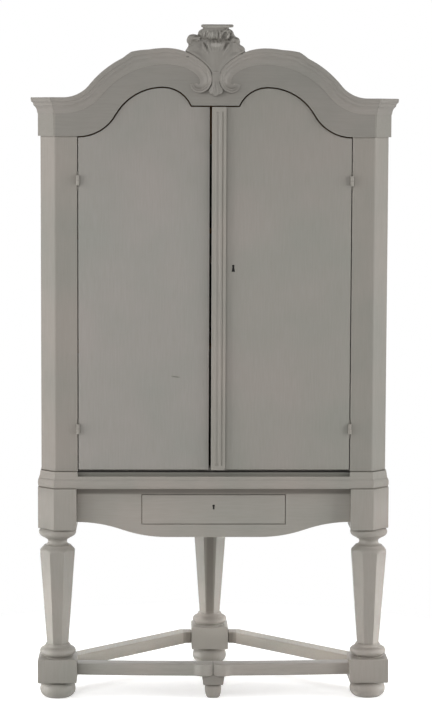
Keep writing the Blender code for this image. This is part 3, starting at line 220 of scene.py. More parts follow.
# How far a texture is stretched across the grain, for each way that the grain can run
BRUSHED = {"x": (1.0, 16.0, 16.0), "y": (16.0, 1.0, 16.0), "z": (16.0, 16.0, 1.0)}
GRAINED = {"x": (1.2, 22.0, 22.0), "y": (22.0, 1.2, 22.0), "z": (22.0, 22.0, 1.2)}
PORES_FINER = 3.0
# A dark tone for painted shade and dirt: in creases, on the doors' tops, under the stand's moulding, on the
# rear leg's shaft and at the side stretchers' ends
SHADE_AND_DIRT = srgb(84, 77, 68)
PAINT_STREAK = srgb(222, 220, 214)
PAINT_RUBBED = srgb(186, 181, 170)


def paint(name, cool, warm, along="z", marks=(), crease_shade_and_dirt=0.45):
    """Old satin paint: brush streaks, warm and cool patches, creases darkened with painted shade and dirt,
    and rubbed edges.
    """
    g = Graph(name)
    patches = g.noise(size=3.2, detail=3.0)
    streaks = g.noise(BRUSHED[along], size=14.0, detail=5.0, rough=0.6)
    fine = g.noise(size=260.0, detail=2.0)
    colour = g.mix(g.ramp(patches, 0.36, 0.64), srgb(*cool), srgb(*warm))
    dark = g.mix(1.0, colour, PAINT_STREAK, "MULTIPLY")
    colour = g.mix(g.ramp(streaks, 0.34, 0.66, 0.0, 0.2), colour, dark)
    rubbed = g.times(g.edge(0.0025, 0.8, 0.995), g.ramp(patches, 0.3, 0.62, 0.15, 0.75), 0.55)
    colour = g.mix(rubbed, colour, PAINT_RUBBED)
    # Painted shade and dirt: creases darkened by ambient occlusion
    colour = g.mix(g.times(g.crevice(0.007, 0.25, 0.85), crease_shade_and_dirt), colour, SHADE_AND_DIRT)
    for mark in marks:
        share, tone = mark(g)
        colour = g.mix(share, colour, tone)
    height = g.math("ADD", g.times(streaks, 0.6), g.times(fine, 0.25))
    height = g.math("ADD", height, g.times(patches, 2.0))
    return g.surface({"Base Color": colour, "Roughness": g.ramp(streaks, 0.3, 0.7, 0.44, 0.58),
                      "Specular IOR Level": 0.38, "Normal": g.bump(height, 0.16, 0.0012)})


def bare_wood(name, along):
    """Unpainted wood of an inside: grain lines, pores and a dusty, dry surface."""
    g = Graph(name)
    stretch = GRAINED[along]
    grain = g.noise(stretch, size=3.4, detail=8.0, rough=0.62, distortion=0.6)
    pores = g.noise([PORES_FINER * s for s in stretch], size=9.0, detail=3.0)
    broad = g.noise(size=2.6, detail=2.0)
    colour = g.mix(g.ramp(grain, 0.34, 0.66), srgb(104, 76, 50), srgb(152, 118, 84))
    colour = g.mix(g.ramp(broad, 0.35, 0.65, 0.0, 0.35), colour, srgb(128, 100, 74))
    colour = g.mix(g.ramp(pores, 0.58, 0.72, 0.0, 0.55), colour, srgb(72, 50, 34))
    # Painted shade: creases darkened by ambient occlusion
    colour = g.mix(g.times(g.crevice(0.03, 0.2, 0.9), 0.45), colour, srgb(60, 46, 34))
    height = g.math("SUBTRACT", grain, g.ramp(pores, 0.58, 0.72, 0.0, 0.5))
    return g.surface({"Base Color": colour, "Roughness": g.ramp(grain, 0.3, 0.7, 0.66, 0.82),
                      "Specular IOR Level": 0.25, "Normal": g.bump(height, 0.35, 0.001)})


def iron(name):
    """Forged iron: dark scale, patches of rust and bright rubbed edges."""
    g = Graph(name)
    scale = g.noise(size=90.0, detail=6.0, rough=0.65)
    rust = g.noise(size=34.0, detail=5.0, rough=0.6)
    colour = g.mix(g.ramp(scale, 0.35, 0.65), srgb(62, 58, 54), srgb(98, 93, 87))
    colour = g.mix(g.ramp(rust, 0.54, 0.7, 0.0, 0.7), colour, srgb(86, 56, 36))
    colour = g.mix(g.edge(0.0012, 0.8, 0.99), colour, srgb(158, 152, 144))
    return g.surface({"Base Color": colour, "Roughness": g.ramp(scale, 0.3, 0.7, 0.38, 0.62),
                      "Metallic": 0.85, "Normal": g.bump(scale, 0.4, 0.0006)})


def painted_iron(name):
    """Hinge iron under the same paint, chipped to dark metal on its edges."""
    g = Graph(name)
    chips = g.noise(size=160.0, detail=4.0, rough=0.6)
    bare = g.times(g.edge(0.0012, 0.82, 0.99), g.ramp(chips, 0.46, 0.58))
    colour = g.mix(g.ramp(chips, 0.3, 0.7), srgb(132, 129, 121), srgb(144, 139, 131))
    colour = g.mix(bare, colour, srgb(70, 64, 58))
    # Painted shade: creases darkened by ambient occlusion
    colour = g.mix(g.times(g.crevice(0.006, 0.2, 0.9), 0.7), colour, srgb(52, 48, 43))
    return g.surface({"Base Color": colour, "Roughness": g.ramp(bare, 0.0, 1.0, 0.5, 0.4),
                      "Normal": g.bump(chips, 0.3, 0.0005)})


SIDES = ((-1, "left"), (1, "right"))
SMOOTH_ANGLE = 35.0
SAME_POINT = 1e-6

# The share of an eased edge's width at its middle points
EASE_SHARE = 0.3

# Points round a turned form
ROUND = 96


def show(name, data):
    """A new object in the scene."""
    made = bpy.data.objects.new(name, data)
    bpy.context.scene.collection.objects.link(made)
    return made


def piece(name, shape, smooth_angle=SMOOTH_ANGLE):
    """An object from a bmesh, with its normals outwards and smooth between its sharp edges."""
    bmesh.ops.remove_doubles(shape, verts=shape.verts, dist=SAME_POINT)
    bmesh.ops.recalc_face_normals(shape, faces=shape.faces)
    mesh = bpy.data.meshes.new(name)
    shape.to_mesh(mesh)
    shape.free()
    mesh.shade_smooth()
    mesh.set_sharp_from_angle(angle=math.radians(smooth_angle))
    return show(name, mesh)


def finish(made, node, material):
    """Puts a finer piece in the place of its CAD node, and paints it."""
    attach(made, "cabinet")
    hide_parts(node)
    made.data.materials.append(MATERIALS[material])


def subdivide(made):
    """Rounds a foot once more."""
    rounding = made.modifiers.new("round", "SUBSURF")
    rounding.levels = rounding.render_levels = 1


def skin(shape, rings):
    """Adds a solid through closed rings of points to a bmesh."""
    made = [[shape.verts.new(point) for point in ring] for ring in rings]
    count = len(made[0])
    for here, after in zip(made, made[1:]):
        for i in range(count):
            j = (i + 1) % count
            shape.faces.new((here[i], here[j], after[j], after[i]))
    shape.faces.new(made[0])
    shape.faces.new(made[-1])


def solid(name, *skins, smooth_angle=SMOOTH_ANGLE):
    """An object of solids, each through its rings."""
    shape = bmesh.new()
    for rings in skins:
        skin(shape, rings)
    return piece(name, shape, smooth_angle)


def turns(count=ROUND):
    return [2 * math.pi * i / count for i in range(count)]


def steps(first, last, count):
    """Values from the first to the last in equal steps."""
    return [first + (last - first) * i / count for i in range(count + 1)]


def held(share):
    """A share kept within 0 and 1."""
    return min(1.0, max(0.0, share))


def smooth(share):
    """A share from 0 to 1 that starts and ends gently."""
    return share * share * (3 - 2 * share)


def dome(share):
    """A quarter circle's height at a share of its radius."""
    return math.sqrt(max(0.0, 1 - share**2))


def hill(value, middle, spread):
    return math.exp(-((value - middle) / spread) ** 2)


def squarish(power_x, power_y):
    """Points of a squarish unit circle, which lower powers make squarer."""
    circle = [(math.cos(turn), math.sin(turn)) for turn in turns()]
    return [(math.copysign(abs(x) ** power_x, x), math.copysign(abs(y) ** power_y, y)) for x, y in circle]


def arc_points(centre, radii, start, end, count):
    """Points on an ellipse in radius and height, from one angle to another in degrees."""
    points = []
    for angle in steps(start, end, count):
        turn = math.radians(angle)
        points.append((centre[0] + radii[0] * math.cos(turn), centre[1] + radii[1] * math.sin(turn)))
    return points


def prism(shape, outline, low, high, edge):
    """Adds an upright block with eased edges: outline in x and depth, counter-clockwise."""
    count = len(outline)
    near = EASE_SHARE * edge
    corners = []
    for i in range(count):
        before, here, after = (Vector(outline[(i + k) % count]) for k in (-1, 0, 1))
        into = (before - here).normalized()
        out = (after - here).normalized()
        corners += [here + into * edge, here + into * near, here + out * near, here + out * edge]
    middle = sum(corners, Vector((0.0, 0.0))) / len(corners)
    rings = []
    for z, inset in ((low, edge), (low + near, near), (low + edge, 0.0),
                     (high - edge, 0.0), (high - near, near), (high, edge)):
        ring = []
        for corner in corners:
            way = corner - middle
            flat = corner - Vector((math.copysign(min(inset, abs(way.x)), way.x),
                                    math.copysign(min(inset, abs(way.y)), way.y)))
            ring.append((flat.x, flat.y - MIDDLE_D, z))
        rings.append(ring)
    skin(shape, rings)


SHAFT_FLATS = (0.034, 0.0565)
SHAFT_Z = (0.174, 0.494)

# The shaft's levels, and the powers that bring them closer at its head and its foot
SHAFT_LEVELS = 56
HEAD_SPACING = 0.75
FOOT_SPACING = 1.6

# The shoulder over the shaft's head: its upper radius, its swell, its height and its curve's power
SHOULDER_RADIUS = 0.045
SHOULDER_SWELL = 0.0175
SHOULDER_HEIGHT = 0.026
SHOULDER_POWER = 1.6

# The shaft's round foot: its lower radius, its swell and its height
SHAFT_FOOT_RADIUS = 0.0385
SHAFT_FOOT_SWELL = 0.006
SHAFT_FOOT_HEIGHT = 0.01

LOWER_BLOCK_EASE = 0.0036
UPPER_BLOCK_EASE = 0.0018


def leg_profile():
    """Radius and height: the ring and the shaft's foot, then the shoulder up to the ovolo."""
    ring = (
        (50, 132), (50, 134.5), (46.5, 135.8), *arc_points((44, 150), (14, 13.5), -78, 74, 16),
        (44.8, 164.2), (42.8, 166.4), (41, 169.2), (39.6, 172),
    )
    neck = (
        (44.7, 494.8), (44, 495.7), *arc_points((45.5, 509), (14.9, 12.5), 262, 128, 16),
        (38.2, 519.2), (39.4, 519.8), (39.8, 520.8), (39.6, 522), (40.2, 522.5),
        *arc_points((30, 540), (30, 19), -62, 39, 18),
    )
    return (*mm(ring), (SHAFT_FOOT_RADIUS, SHAFT_Z[0])), ((SHOULDER_RADIUS, SHAFT_Z[1]), *mm(neck))


def turned_ring(radii, x, d, z):
    ring = []
    for turn, radius in zip(turns(), radii):
        ring.append((x + radius * math.cos(turn), d - MIDDLE_D + radius * math.sin(turn), z))
    return ring


def round_rings(profile, x, d):
    return [turned_ring([radius] * ROUND, x, d, z) for radius, z in profile]


def shaft_ring(z, x, d):
    """The eight-sided shaft, cut by a turned shoulder at its head."""
    share = (z - SHAFT_Z[0]) / (SHAFT_Z[1] - SHAFT_Z[0])
    flats = SHAFT_FLATS[0] + (SHAFT_FLATS[1] - SHAFT_FLATS[0]) * share
    below = min((SHAFT_Z[1] - z) / SHOULDER_HEIGHT, 1.0)
    limit = SHOULDER_RADIUS + SHOULDER_SWELL * (1 - (1 - below) ** SHOULDER_POWER)
    above = (z - SHAFT_Z[0]) / SHAFT_FOOT_HEIGHT
    if above < 1.0:
        limit = min(limit, SHAFT_FOOT_RADIUS + SHAFT_FOOT_SWELL * dome(1 - above))
    radii = []
    for turn in turns():
        off = (turn + math.pi / 8) % (math.pi / 4) - math.pi / 8
        radii.append(min(flats / math.cos(off), limit))
    return turned_ring(radii, x, d, z)


def leg(name, x, d, side, material):
    lower, upper = leg_profile()
    shape = bmesh.new()
    rings = round_rings(lower, x, d)
    for share in steps(0, 1, SHAFT_LEVELS):
        if share > 0.5:
            share = share**HEAD_SPACING
        else:
            share = 0.5**HEAD_SPACING * (2 * share) ** FOOT_SPACING
        rings.append(shaft_ring(SHAFT_Z[0] + (SHAFT_Z[1] - SHAFT_Z[0]) * share, x, d))
    skin(shape, rings + round_rings(upper, x, d))
    left, right, front, back = x - LEG_HALF, x + LEG_HALF, d - LEG_HALF, d + LEG_HALF
    square = [(left, front), (right, front), (right, back), (left, back)]
    prism(shape, square, LOWER_BLOCK_Z[0], LOWER_BLOCK_Z[1] - SEAT, LOWER_BLOCK_EASE)
    canted = list(square)
    if side > 0:
        canted[1:2] = [(right - BLOCK_CANT, front), (right, front + BLOCK_CANT)]
    elif side < 0:
        canted[0:1] = [(left, front + BLOCK_CANT), (left + BLOCK_CANT, front)]
    prism(shape, canted, UPPER_BLOCK_Z[0] + SEAT, UPPER_BLOCK_Z[1], UPPER_BLOCK_EASE)
    finish(piece("turned_" + name, shape), name, material)


FOOT_PROFILE = mm((
    (40, 53.8), (45.5, 52.2), (50, 48.4), (53.2, 43.4), (55.6, 37.4), (57.2, 31.4), (57.8, 25.6),
    (57.2, 19.6), (55.2, 14), (52, 9), (48, 5.2), (44, 2.2), (40.5, 0.5), (38, 0),
))


def foot(name, x, d):
    made = solid("bun_" + name, round_rings(FOOT_PROFILE, x, d))
    subdivide(made)
    finish(made, name, "upright")


# The cornice's section: across from the outer edge, and forward from the frieze
CORNICE_SECTION = mm((
    (0, 0), (0, 20.3), (0.7, 21.5), (2.2, 22), (8, 21.4), (12, 20.6), (13.6, 19.8), (14.6, 18.4),
    (15.3, 16.8), (16.4, 15.7), (18.2, 14.8), (20.2, 13.9), (21.6, 13.4), (23, 13.6), (24.4, 13.3),
    (25.8, 12.3), (27, 10.8), (28.4, 9.3), (30, 7.8), (31.8, 6.3), (33.8, 5), (36, 4), (38.5, 3.2),
    (41.5, 2.5), (44.5, 1.9), (47.5, 1.4), (50, 1), (50, 0),
))
CORNICE_SMOOTH_ANGLE = 28.0
HOLLOW_STEPS = 30
ARCH_STEPS = 60
INNER_STEPS = 40
VOLUTE_STEPS = 84

# Where an old repair has lifted the rim, as angles about the arch's centre, and by how much
KINK_ANGLES = (63.8, 69.8, 79.8)
KINK_RISE = 0.0075

# What the scroll keeps of its reach at its end, and over what last part of its turns it falls to that
VOLUTE_END_REACH = 0.12
VOLUTE_FADE = 0.62

# How much narrower the rim gets towards the scroll, as a power of the share across
VOLUTE_NARROWING = 0.25


def around(centre, radius, angle):
    turn = math.radians(angle)
    return Vector((centre[0] + radius * math.cos(turn), centre[1] + radius * math.sin(turn)))


class Arch:
    """The cornice's outer line on the right-hand side: a hollow, an arch, a tighter arch and a scroll."""

    def __init__(self):
        run = CORNICE_FOOT_X - CORNICE_PEAK_X
        both = (run**2 + CORNICE_RISE**2) / (2 * CORNICE_RISE)
        peak_z = CORNICE_END_Z + CORNICE_RISE
        self.radius = CORNICE_SHARE * both
        self.hollow = both - self.radius
        self.centre = Vector((CORNICE_PEAK_X, peak_z - self.radius))
        self.inner_centre = Vector((CORNICE_PEAK_X, peak_z - CORNICE_INNER_RADIUS))
        self.hollow_centre = Vector((CORNICE_FOOT_X, CORNICE_END_Z + self.hollow))
        way = self.hollow_centre - self.centre
        self.join = math.degrees(math.atan2(way.y, way.x))
        self.end = math.degrees(math.acos((VOLUTE_ARC_X - CORNICE_PEAK_X) / CORNICE_INNER_RADIUS))
        self.eye = Vector(VOLUTE_EYE)
        first = around(self.inner_centre, CORNICE_INNER_RADIUS, self.end) - self.eye
        self.first = first.length
        self.start = math.degrees(math.atan2(first.y, first.x))

    def scroll(self, angle):
        fade = math.exp(-VOLUTE_DECAY * math.radians(angle - self.start))
        return VOLUTE_LAST_RADIUS + (self.first - VOLUTE_LAST_RADIUS) * fade

    def kink(self, angle):
        low, top, high = KINK_ANGLES
        return KINK_RISE * max(0.0, min((angle - low) / (top - low), (high - angle) / (high - top)))

    def pairs(self):
        """Outer points with the way across and the width there, from the foot to the scroll's end."""
        line = []
        for angle in steps(270, 180 + self.join, HOLLOW_STEPS)[:-1]:
            outer = around(self.hollow_centre, self.hollow, angle)
            line.append((outer, (outer - self.hollow_centre).normalized(), CORNICE_WIDTH))
        for angle in steps(self.join, 90, ARCH_STEPS)[:-1]:
            outer = around(self.centre, self.radius + self.kink(angle), angle)
            line.append((outer, (self.centre - outer).normalized(), CORNICE_WIDTH + self.kink(angle)))
        for i, angle in enumerate(steps(90, self.end, INNER_STEPS)):
            outer = around(self.inner_centre, CORNICE_INNER_RADIUS, angle)
            straight = (self.inner_centre - outer).normalized()
            way = straight.lerp((self.eye - outer).normalized(), i / INNER_STEPS).normalized()
            line.append((outer, way, CORNICE_WIDTH))
        for angle in steps(self.start, VOLUTE_END_ANGLE, VOLUTE_STEPS)[1:]:
            radius = self.scroll(angle)
            outer = around(self.eye, radius, angle)
            way = (self.eye - outer).normalized()
            line.append((outer, way, min(CORNICE_WIDTH, VOLUTE_FILL * radius)))
        return line


ARCH = Arch()


def cornice_ring(outer, way, width, fade=1.0, mitre=0.0, narrow=0.0):
    ring = []
    for across, reach in CORNICE_SECTION:
        place = outer + way * ((across / CORNICE_SECTION[-1][0]) ** (1 + narrow) * width)
        proud = SEAT + reach * fade
        ring.append((place.x + mitre * proud, FRIEZE_D - proud - MIDDLE_D, place.y))
    return ring


def cornice_rings():
    """The right-hand half of the arched moulding, which replaces the CAD's coarser loft."""
    first = Vector((FRIEZE_X - SEAT, CORNICE_END_Z))
    rings = [cornice_ring(first, Vector((0.0, -1.0)), CORNICE_WIDTH, mitre=MITRE)]
    pairs = ARCH.pairs()
    for i, (outer, way, width) in enumerate(pairs):
        left = min(1.0, (len(pairs) - 1 - i) / (VOLUTE_STEPS * VOLUTE_FADE))
        fade = VOLUTE_END_REACH + (1 - VOLUTE_END_REACH) * smooth(left)
        narrow = VOLUTE_NARROWING * held((i - HOLLOW_STEPS - ARCH_STEPS) / INNER_STEPS)
        rings.append(cornice_ring(outer, way, width, fade, narrow=narrow))
    return rings


def return_rings():
    """The same moulding on its way round the right-hand corner."""
    corners = (
        ((FRIEZE_X + SEAT, FRIEZE_D), (MITRE, -1.0)),
        ((FRIEZE_SIDE_X, FRIEZE_SIDE_D - SEAT), (1.0, -MITRE)),
        ((FRIEZE_SIDE_X, POST_RETURN), (1.0, 0.0)),
    )
    rings = []
    for (x, d), (out_x, out_d) in corners:
        ring = []
        for across, reach in CORNICE_SECTION:
            proud = SEAT + reach
            ring.append((x + out_x * proud, d + out_d * proud - MIDDLE_D, CORNICE_END_Z - across))
        rings.append(ring)
    return rings


def cornice(side, word):
    for name, node, rings in ((word + "_cornice_moulding", word + "_cornice", cornice_rings()),
                              (word + "_cornice_corner", word + "_cornice_return", return_rings())):
        rings = [[(side * x, y, z) for x, y, z in ring] for ring in rings]
        finish(solid(name, rings, smooth_angle=CORNICE_SMOOTH_ANGLE), node, "crown")


# The carved crest: the drop below its top, and the reach to the left and the right of the middle
CREST_TOP_Z = CAD_BOX[1][2]
CREST_BACK_D = 0.0067
CREST_OUTLINE = mm((
    (13, 36, 36), (20, 45, 48), (30, 54, 58), (34, 73, 60), (41, 84, 70), (49, 90, 75), (57, 87, 75),
    (65, 86, 78.5), (72, 88, 85), (81, 95, 92), (90, 100, 100),
))
CREST_FOOT_DROP = 0.222
CREST_GAP = 0.0004
CREST_SEAM = 0.0016
CREST_SEAM_DROPS = (0.14, 0.215)
CREST_LEVELS = 110
CREST_ACROSS = 56
CREST_VOXEL = 0.0014
CREST_SOFTENING = 0.5
STEM_HALF = 0.013

# Drops where the scrolls limit the body, where its stem has little room, and where its tip rounds
CREST_BESIDE_DROP = 0.078
CREST_STEM_DROP = 0.195
CREST_STEM_ROOM = 0.022
CREST_TIP_DROP = 0.212
CREST_TIP_HEIGHT = 0.0101
CREST_TIP_LEAST = 0.3

# The carving's depth at its top; how much goes, from what drop over what height; its dip by the roll
CREST_DEPTH = 0.026
CREST_THINNING = (0.004, 0.07, 0.11)
CREST_DIP = (0.008, 0.03, 0.022)

# The leaves' drop and spread; each rib's or hollow's height, with its place and spread across
CREST_LEAF = (0.075, 0.045)
CREST_RIBS = ((0.005, 0.86, 0.16), (-0.004, 0.5, 0.22), (0.002, 0.0, 0.18))

# What the carving keeps of its depth at its edges: at free ones, and beside the left and right scroll
CREST_FREE_EDGE = 0.35
CREST_SCROLL_EDGES = (0.7, 0.88)
CREST_SCROLL_DROPS = (0.075, 0.095)
CREST_EDGE_POWER = 5


def between(table, value, column):
    """A smooth line through a table's points."""
    if value <= table[0][0]:
        return table[0][column]
    for low, high in zip(table, table[1:]):
        if value <= high[0]:
            share = smooth((value - low[0]) / (high[0] - low[0]))
            return low[column] + (high[column] - low[column]) * share
    return table[-1][column]


def scroll_limit(z):
    """How far from the middle the scroll's outer edge is at a height."""
    line = [outer for outer, _, _ in ARCH.pairs()[HOLLOW_STEPS:]]
    for here, after in zip(line, line[1:]):
        if after.y <= z <= here.y and here.x < CORNICE_PEAK_X:
            share = (z - after.y) / max(here.y - after.y, SAME_POINT)
            return after.x + (here.x - after.x) * share
    return CORNICE_PEAK_X if z > ARCH.eye.y else STEM_HALF + CREST_GAP


def crest_depth(side, share, drop):
    """How far the carving stands off its back: a middle rib, two hollows and leaf edges that lift."""
    thinning, start, height = CREST_THINNING
    dip, *dip_place = CREST_DIP
    base = CREST_DEPTH - thinning * held((drop - start) / height) - dip * hill(drop, *dip_place)
    carve = sum(rise * hill(share, *place) for rise, *place in CREST_RIBS)
    low, high = CREST_SCROLL_DROPS
    beside = held((drop - low) / (high - low))
    edge = CREST_FREE_EDGE + (CREST_SCROLL_EDGES[side] - CREST_FREE_EDGE) * beside
    falling = math.sqrt(max(0.0, 1 - share**CREST_EDGE_POWER))
    return (base + hill(drop, *CREST_LEAF) * carve) * (edge + (1 - edge) * falling)


def crest_body(shape):
    rings = []
    for drop in steps(CREST_OUTLINE[0][0], CREST_FOOT_DROP, CREST_LEVELS):
        z = CREST_TOP_Z - drop
        taper = dome(max(0.0, (drop - CREST_TIP_DROP) / CREST_TIP_HEIGHT))
        seam = CREST_SEAM if CREST_SEAM_DROPS[0] < drop < CREST_SEAM_DROPS[1] else CREST_GAP
        halves = []
        for side, gap in ((1, seam), (2, CREST_GAP)):
            half = between(CREST_OUTLINE, drop, side)
            if drop > CREST_BESIDE_DROP:
                half = min(half, max(STEM_HALF, scroll_limit(z) - gap))
            if drop > CREST_STEM_DROP:
                half = min(half, CREST_STEM_ROOM)
            halves.append(half * max(CREST_TIP_LEAST, taper))
        ring = []
        for share in steps(-1, 1, CREST_ACROSS):
            side = 0 if share < 0 else 1
            depth = crest_depth(side, abs(share), drop)
            ring.append((share * halves[side], CREST_BACK_D - depth - MIDDLE_D, z))
        ring += [(halves[1], CREST_BACK_D - MIDDLE_D, z), (-halves[0], CREST_BACK_D - MIDDLE_D, z)]
        rings.append(ring)
    skin(shape, rings)


# A leaf edge: its rings, the points of each, where its ends start to round, and the least they keep
CURL_STEPS = 28
CURL_ROUND = 20
CURL_END = 0.75
CURL_LEAST = 0.02


def curl(shape, path, radii):
    """Adds a carved leaf edge: a rounded bar of changing width along a bent path of (x, d, drop)."""
    points = [Vector((x, d - MIDDLE_D, CREST_TOP_Z - drop)) for x, d, drop in path]
    line = []
    for i in range(CURL_STEPS + 1):
        at = i / CURL_STEPS * (len(points) - 1)
        k = min(int(at), len(points) - 2)
        t = at - k
        p0, p1, p2, p3 = (points[min(max(k + n, 0), len(points) - 1)] for n in (-1, 0, 1, 2))
        bend = (2 * p0 - 5 * p1 + 4 * p2 - p3) * t**2 + (3 * p1 - p0 - 3 * p2 + p3) * t**3
        line.append(0.5 * (2 * p1 + (p2 - p0) * t + bend))
    rings = []
    for i, here in enumerate(line):
        along = (line[min(i + 1, CURL_STEPS)] - line[max(i - 1, 0)]).normalized()
        out = Vector((0.0, -1.0, 0.0))
        out = (out - along * out.dot(along)).normalized()
        side = along.cross(out)
        share = i / CURL_STEPS
        at = share * (len(radii) - 1)
        k = min(int(at), len(radii) - 2)
        radius = radii[k] + (radii[k + 1] - radii[k]) * (at - k)
        ending = max(0.0, abs(2 * share - 1) - CURL_END) / (1 - CURL_END)
        radius *= math.sqrt(max(CURL_LEAST, 1 - ending**2))
        rings.append([here + (side * math.cos(turn) + out * math.sin(turn)) * radius
                      for turn in turns(CURL_ROUND)])
    skin(shape, rings)


# The roll's ribs: middle and half width; the wide gap on the right is a pocket behind a curled edge
ROLL_RIBS = mm((
    (-47.5, 8.2), (-33.5, 7.2), (-20.5, 6.2), (-8.5, 6.4), (3.5, 6.2), (15, 6), (52.5, 5.2),
))
ROLL_HALF = 0.056
ROLL_DROP = 0.0286
ROLL_D = -0.0095
ROLL_RADIUS = 0.0212
ROLL_HOLLOW = 0.58
ROLL_LEVELS = 160
ROLL_ROUND = 48

# How the roll's ends close and its flutes run out, and its height as a share of its depth
ROLL_END = 1.004
ROLL_END_POWER = 3.2
ROLL_END_LEAST = 0.04
FLUTE_POWER = 0.6
ROLL_FLATTER = 0.95

# The neck between the cap and the roll: drop, half its width and its front; then its back and squareness
CREST_NECK = mm(((5, 38.5, -23.5), (11, 40, -25.5), (17, 44, -27), (25, 48, -26)))
CREST_NECK_BACK = 0.002
CREST_NECK_POWERS = (0.4, 0.5)

# The cap: inset and drop down its edge, its halves and middle in x and depth, its squareness and its waves
CAP_EDGE = mm(((2.5, 0), (0.6, 1), (0, 3), (0.2, 6.2), (1.4, 7.8), (4, 8.8)))
CAP_HALF = (0.0508, 0.0185)
CAP_MIDDLE = (0.004, -0.014)
CAP_POWERS = (0.35, 0.45)
CAP_WAVES = ((0.012, 3, 0.8), (0.01, 7, 0.0))

# The tongue below the roll: its ribs, and the path and radii of the outermost
FAN_RIBS = 5
FAN_PATH = mm(((24, -17, 52.2), (22, -21.5, 62), (17, -20.5, 76), (12, -15.5, 88)))
FAN_RADII = mm((5.6, 6.2, 4.8, 2.4))

# Leaf edges as paths and radii: two in the roll's pocket, the lobes beside the roll and the stem's band
LEAVES = mm((
    (((34.8, -22.5, 12.5), (26.2, -30, 20), (19, -32.5, 28.5), (14.5, -29.5, 37.5), (12, -24, 45.5)),
     (2.2, 3, 3.4, 3, 2)),
    (((42, -18, 20), (40, -24, 29), (37.5, -24.5, 38), (35, -21.5, 47)), (3, 4, 4.2, 3)),
    (((-50, -16, 47), (-64, -20, 40), (-78, -20, 41), (-84, -16, 52), (-78, -14, 62)), (7, 9, 9.5, 8, 4)),
    (((50, -16, 52), (58, -20, 47), (66, -20, 48), (69, -16, 57), (65, -14, 64)), (6, 7.5, 8, 7, 4)),
    (((-11.5, -13, 155), (-6, -16, 148), (6, -16, 148), (11.5, -13, 155)), (2.2, 2.8, 2.8, 2.2)),
))

# Those on both sides: the blades up to the lobes, the ones beside the tongue, and the stem's curls
PAIRED_LEAVES = mm((
    (((90, -10, 81), (81, -14, 71.5), (66, -13, 68), (50, -12, 76)), (4.2, 5.8, 6, 3)),
    (((39, -14, 58), (36, -17.5, 70), (29, -16.5, 83), (21, -15, 97)), (3, 5, 3.8, 1.5)),
    (((3, -14.5, 178), (6, -15, 196), (13, -13, 212), (19, -9.5, 214)), (2.4, 3.4, 4, 2.6)),
))


def crest_roll(shape):
    """The fluted roll under the cap, about an axis from left to right."""
    rings = []
    for x in steps(-ROLL_HALF, ROLL_HALF, ROLL_LEVELS):
        body = math.sqrt(max(0.0, 1 - (abs(x) / (ROLL_HALF * ROLL_END)) ** ROLL_END_POWER))
        ribs = max(dome((x - middle) / half) for middle, half in ROLL_RIBS)
        ring = []
        for turn in turns(ROLL_ROUND):
            flute = (1 - ROLL_HOLLOW) * (1 - ribs) * max(0.0, math.sin(turn)) ** FLUTE_POWER
            radius = ROLL_RADIUS * max(ROLL_END_LEAST, body) * (1 - flute)
            rise = radius * math.cos(turn) * ROLL_FLATTER
            ring.append((x, ROLL_D - radius * math.sin(turn) - MIDDLE_D, CREST_TOP_Z - ROLL_DROP + rise))
        rings.append(ring)
    skin(shape, rings)


def crest_neck(shape):
    """The plain neck that carries the cap."""
    rings = []
    for drop, half, front in CREST_NECK:
        middle, deep = (CREST_NECK_BACK + front) / 2, (CREST_NECK_BACK - front) / 2
        rings.append([(x * half, d * deep + middle - MIDDLE_D, CREST_TOP_Z - drop)
                      for x, d in squarish(*CREST_NECK_POWERS)])
    skin(shape, rings)


def crest_cap(shape):
    """The thin flat plate on top, a little uneven at its ends."""
    rings = []
    for inset, drop in CAP_EDGE:
        ring = []
        for turn, (x, d) in zip(turns(), squarish(*CAP_POWERS)):
            wave = 1 + sum(high * math.sin(often * turn + shift) for high, often, shift in CAP_WAVES)
            x = x * (CAP_HALF[0] * wave - inset) + CAP_MIDDLE[0]
            d = d * (CAP_HALF[1] - inset) + CAP_MIDDLE[1]
            ring.append((x, d - MIDDLE_D, CREST_TOP_Z - drop))
        rings.append(ring)
    skin(shape, rings)


def crest():
    shape = bmesh.new()
    crest_body(shape)
    crest_roll(shape)
    crest_neck(shape)
    for share in steps(-1, 1, FAN_RIBS - 1):
        curl(shape, [(x * share, d, drop) for x, d, drop in FAN_PATH], FAN_RADII)
    crest_cap(shape)
    for path, radii in LEAVES:
        curl(shape, path, radii)
    for side in (-1, 1):
        for path, radii in PAIRED_LEAVES:
            curl(shape, [(side * x, d, drop) for x, d, drop in path], radii)
    rough = piece("crest_rough", shape)
    fuse = rough.modifiers.new("fuse", "REMESH")
    fuse.mode = "VOXEL"
    fuse.voxel_size = CREST_VOXEL
    soften = rough.modifiers.new("soften", "SMOOTH")
    soften.factor = CREST_SOFTENING
    soften.iterations = 2
    bpy.context.view_layer.update()
    mesh = bpy.data.meshes.new_from_object(rough.evaluated_get(bpy.context.evaluated_depsgraph_get()))
    bpy.data.objects.remove(rough)
    mesh.name = "crest_carving"
    mesh.shade_smooth()
    finish(show("crest_carving", mesh), "crest", "crest")


# The front stretcher, as in the CAD part: half its length and depth, its bow, its height and its eased edge
STRETCHER_END = 0.4397
STRETCHER_HALF_D = 0.0275
STRETCHER_BOW = 0.02
STRETCHER_Z = (0.075, 0.113)
STRETCHER_EASE = 0.0035
STRETCHER_STEPS = 160
STRETCHER_SPACING = 1.6

# The swells beside its middle: where they start and where they stand out most, by how much, and the cleft
SWELL_X = (0.066, 0.034)
SWELL_OUT = 0.012
CLEFT_IN = 0.003
CLEFT_POWER = 1.6

# The keel block under the middle: height, half its width, and its front and back
KEEL = mm((
    (76.8, 36.5, 14.5, 74), (74.2, 36.5, 13.6, 74), (58, 34, 7.8, 72), (48.8, 32.8, 4.5, 70),
    (47.2, 31.6, 5.6, 69),
))
KEEL_EASE = 0.003


